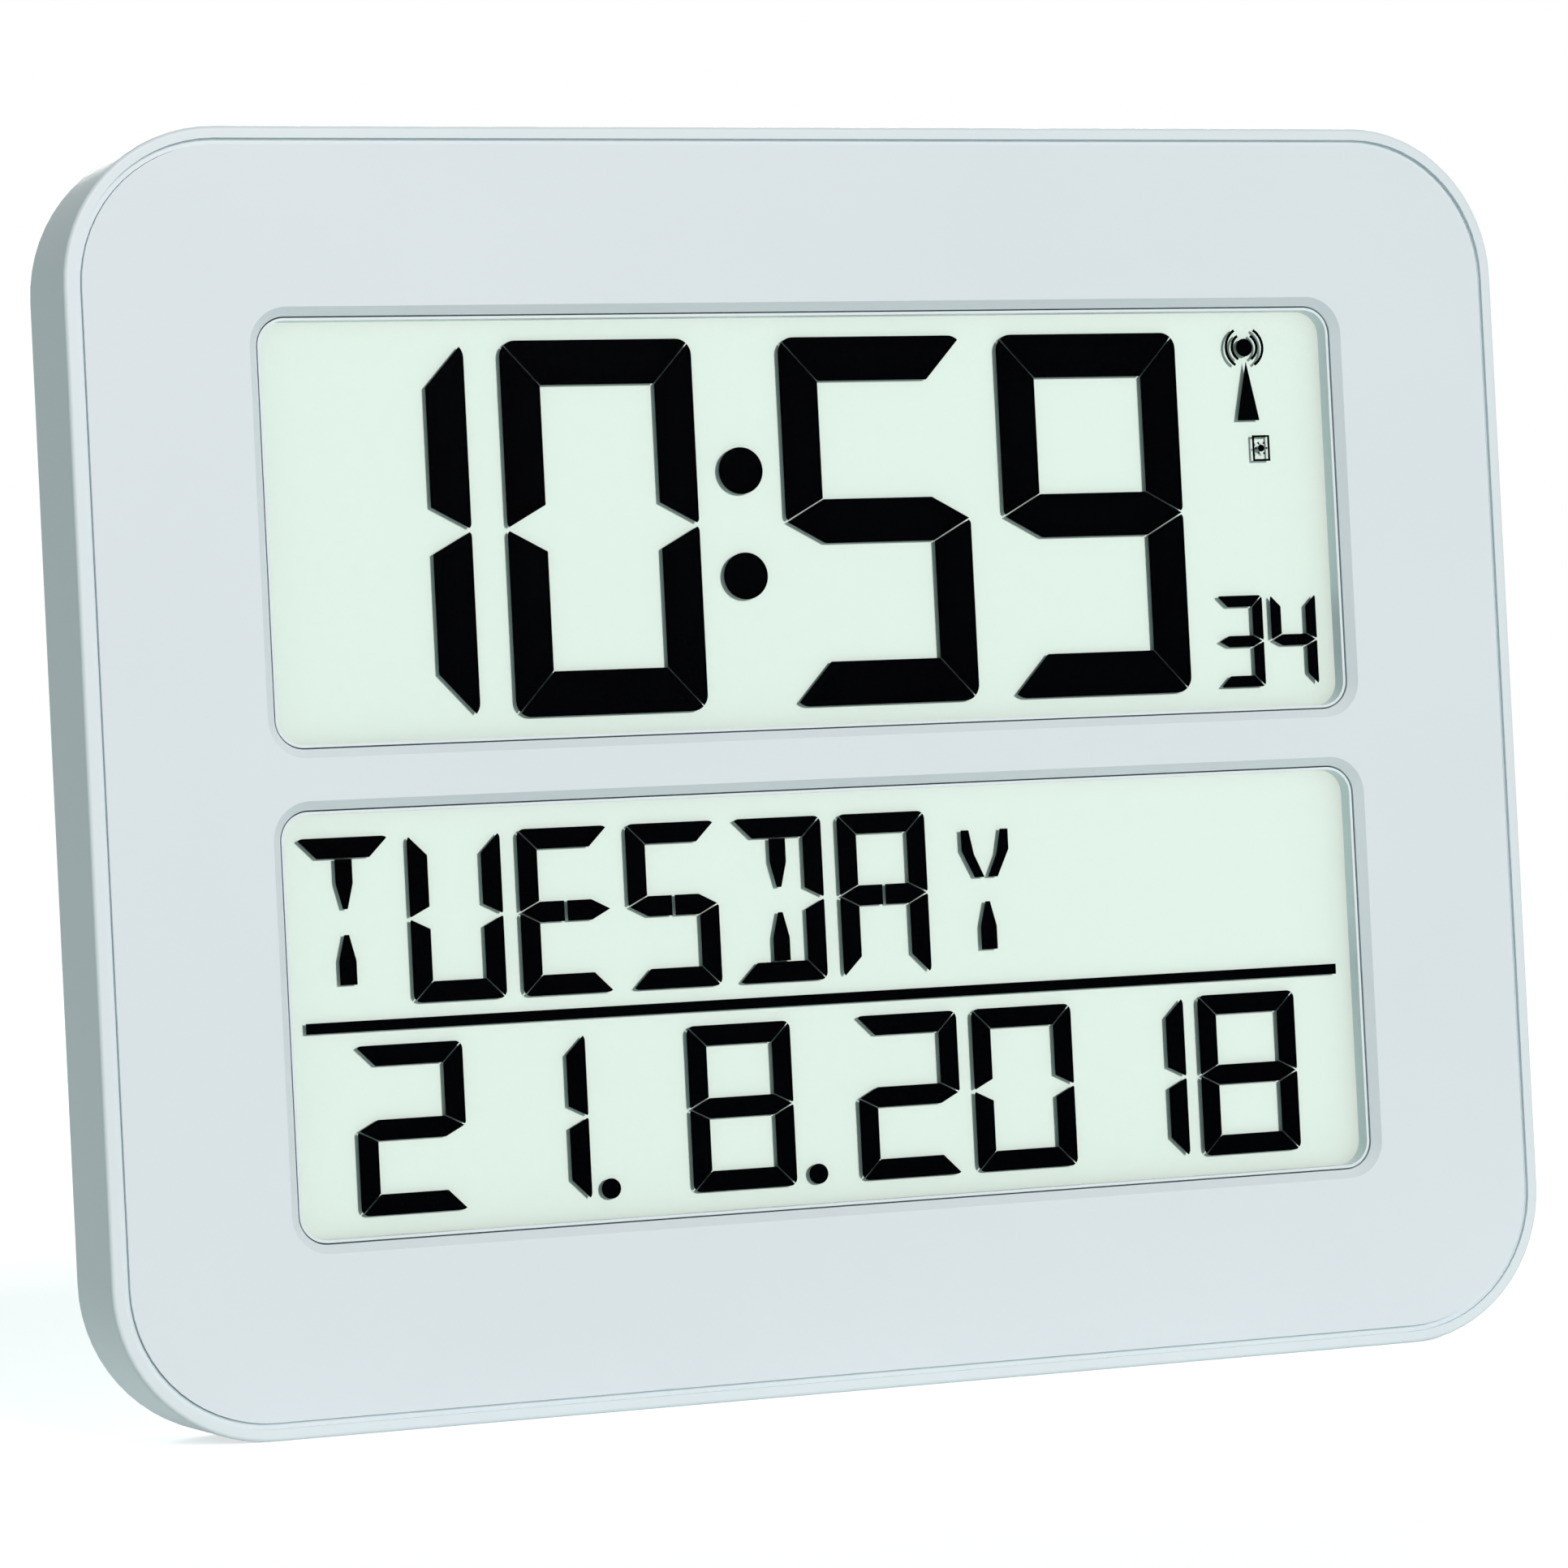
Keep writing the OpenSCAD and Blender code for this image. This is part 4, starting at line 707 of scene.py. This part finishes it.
def addRib(bm, points, width, base, top, closed=False):
    # a low rib with sloping sides along points given as (x, z)
    foot, crest = width / 2, width / 3
    rings = []
    count = len(points)
    for i, point in enumerate(points):
        before = Vector(points[i - 1] if closed or i else point)
        after = Vector(points[(i + 1) % count] if closed or i < count - 1 else point)
        along = (after - before).normalized()
        side = Vector((-along.y, along.x))
        rings.append([(point[0] + side.x * s, y, point[1] + side.y * s) for s, y in (
            (-foot, base), (-crest, top), (crest, top), (foot, base))])
    addRings(bm, rings + rings[:1] if closed else rings, 0, not closed)


def addPad(bm, outline, base, top, slope, kind=0):
    # a raised flat with sloping sides on an outline given as (x, z)
    middle = sum((Vector(p) for p in outline), Vector((0, 0))) / len(outline)
    inner = [Vector(p) + (middle - Vector(p)).normalized() * slope for p in outline]
    rings = [[(p[0], base, p[1]) for p in outline], [(p[0], top, p[1]) for p in inner]]
    addRings(bm, rings, kind)
    for face in bm.faces:
        face.smooth = False


def arc(centre, radius, start, end, steps):
    angles = [start + (end - start) * i / steps for i in range(steps + 1)]
    return [(centre[0] + radius * cos(a), centre[1] + radius * sin(a)) for a in angles]


def circle(centre, radius, steps):
    return arc(centre, radius, 0, 2 * pi * (steps - 1) / steps, steps - 1)


# marks moulded into the back beside the buttons: a clock face, plus, minus and a radio signal
markLook = {
    "aside": 15.0,  # mm from the buttons' middles
    "size": 5.0,
    "line": 0.9,
    "proud": 0.35,
    "root": 0.1,  # how far they reach into the cover
    "faceSteps": 32,
    "handTips": ((0, 0.62), (-0.45, -0.2)),  # from the clock face's middle, in its radii
    "handLine": 0.8,  # widths as shares of the line
    "waveLine": 0.85,
    "waves": (0.62, 1.15),  # radii as shares of half the size
    "waveAngle": 0.75,  # radians to each side
    "waveSteps": 12,
    "dot": 0.75,  # radius as a share of the line
    "dotSlope": 0.1,
    "dotSteps": 16,
}


def makeMarks(look):
    bm = bmesh.new()
    half, line = look["size"] / 2, look["line"]
    base = boxMm("rear_cover")[1].y - look["root"]
    top = base + look["root"] + look["proud"]

    def besides(button):
        low, high = boxMm(button)
        return (low.x + high.x) / 2 - look["aside"], (low.z + high.z) / 2

    x, z = besides("set_button")
    addRib(bm, circle((x, z), half, look["faceSteps"]), line, base, top, True)
    for right, up in look["handTips"]:
        tip = (x + half * right, z + half * up)
        addRib(bm, [(x, z), tip], line * look["handLine"], base, top)
    x, z = besides("up_button")
    addRib(bm, [(x - half, z), (x + half, z)], line, base, top)
    for way in (-1, 1):
        addRib(bm, [(x, z + way * line / 2), (x, z + way * half)], line, base, top)
    x, z = besides("down_button")
    addRib(bm, [(x - half, z), (x + half, z)], line, base, top)
    x, z = besides("wave_button")
    dot = circle((x, z), line * look["dot"], look["dotSteps"])
    addPad(bm, dot, base, top, look["dotSlope"])
    spread = look["waveAngle"]
    for share in look["waves"]:
        for middle in (0, pi):
            wave = arc((x, z), half * share, middle - spread, middle + spread, look["waveSteps"])
            addRib(bm, wave, line * look["waveLine"], base, top)
    addPiece("buttonMarks", bm, (backAbs,), "clock", "back")


makeMarks(markLook)

# a moulded arrow head on the battery lid that points to its latch
arrowLook = {
    "width": 6.0,  # mm
    "height": 4.2,
    "underTop": 15.7,  # from the lid's top to the arrow's foot
    "proud": 0.35,
    "root": 0.1,
    "slope": 0.25,
}


def makeArrow(look):
    low, high = boxMm("battery_lid")
    x, z = (low.x + high.x) / 2, high.z - look["underTop"]
    half = look["width"] / 2
    bm = bmesh.new()
    outline = [(x - half, z), (x + half, z), (x, z + look["height"])]
    addPad(bm, outline, high.y - look["root"], high.y + look["proud"], look["slope"])
    addPiece("lidArrow", bm, (backAbs,), "battery_lid", "back")


makeArrow(arrowLook)
print("raised marks made")


# surface-mounted parts on the boards
smallPartLook = {
    # middles of the resistors, in mm from the main board's lower left corner
    "resistors": ((34, 27), (40, 27), (46, 27), (52, 27), (62, 41), (62, 37), (79, 50), (79, 54),
                  (108, 15), (108, 19), (70, 19), (74, 19), (12, 13), (12, 17)),
    "size": (2.0, 1.25, 0.5),
    "glaze": 0.9,  # its height as a share of the caps'
    "cap": 0.4,
    "legsAt": (0.8, 2.3, 3.7, 5.2),  # mm along the radio chip
    "leg": (0.45, 1.0, 0.3),
    "slope": 0.08,  # how far each side leans in
}
# thick-film resistors: a black glaze between tinned ends
resistorGlaze = makeEpoxy("resistorGlaze", {
    "colour": "#1B1B1E", "darker": "#101012", "grainMm": 0.3, "depthMm": 0.01, "roughness": 0.2})


def makeSmallParts(look):
    def block(x, z, w, h, base, tall, kind):
        corners = [(x + i * w / 2, z + j * h / 2) for i, j in ((-1, -1), (1, -1), (1, 1), (-1, 1))]
        addPad(bm, corners, base, base + tall, look["slope"], kind)

    glaze, tin = 0, 1  # places in the piece's list of materials
    bm = bmesh.new()
    low, high = boxMm("main_board")
    w, h, tall = look["size"]
    for x, z in look["resistors"]:
        x, z = low.x + x, low.z + z
        block(x, z, w - 2 * look["cap"], h, high.y, tall * look["glaze"], glaze)
        for side in (-1, 1):
            block(x + side * (w - look["cap"]) / 2, z, look["cap"], h, high.y, tall, tin)
    low, high = boxMm("radio_chip")
    legW, legH, legTall = look["leg"]
    for along in look["legsAt"]:
        for z in (low.z - legH / 2, high.z + legH / 2):
            block(low.x + along, z, legW, legH, low.y, legTall, tin)
    addPiece("smallBoardParts", bm, (resistorGlaze, zincSteel), "clock", "chip")


makeSmallParts(smallPartLook)
print("board parts made")
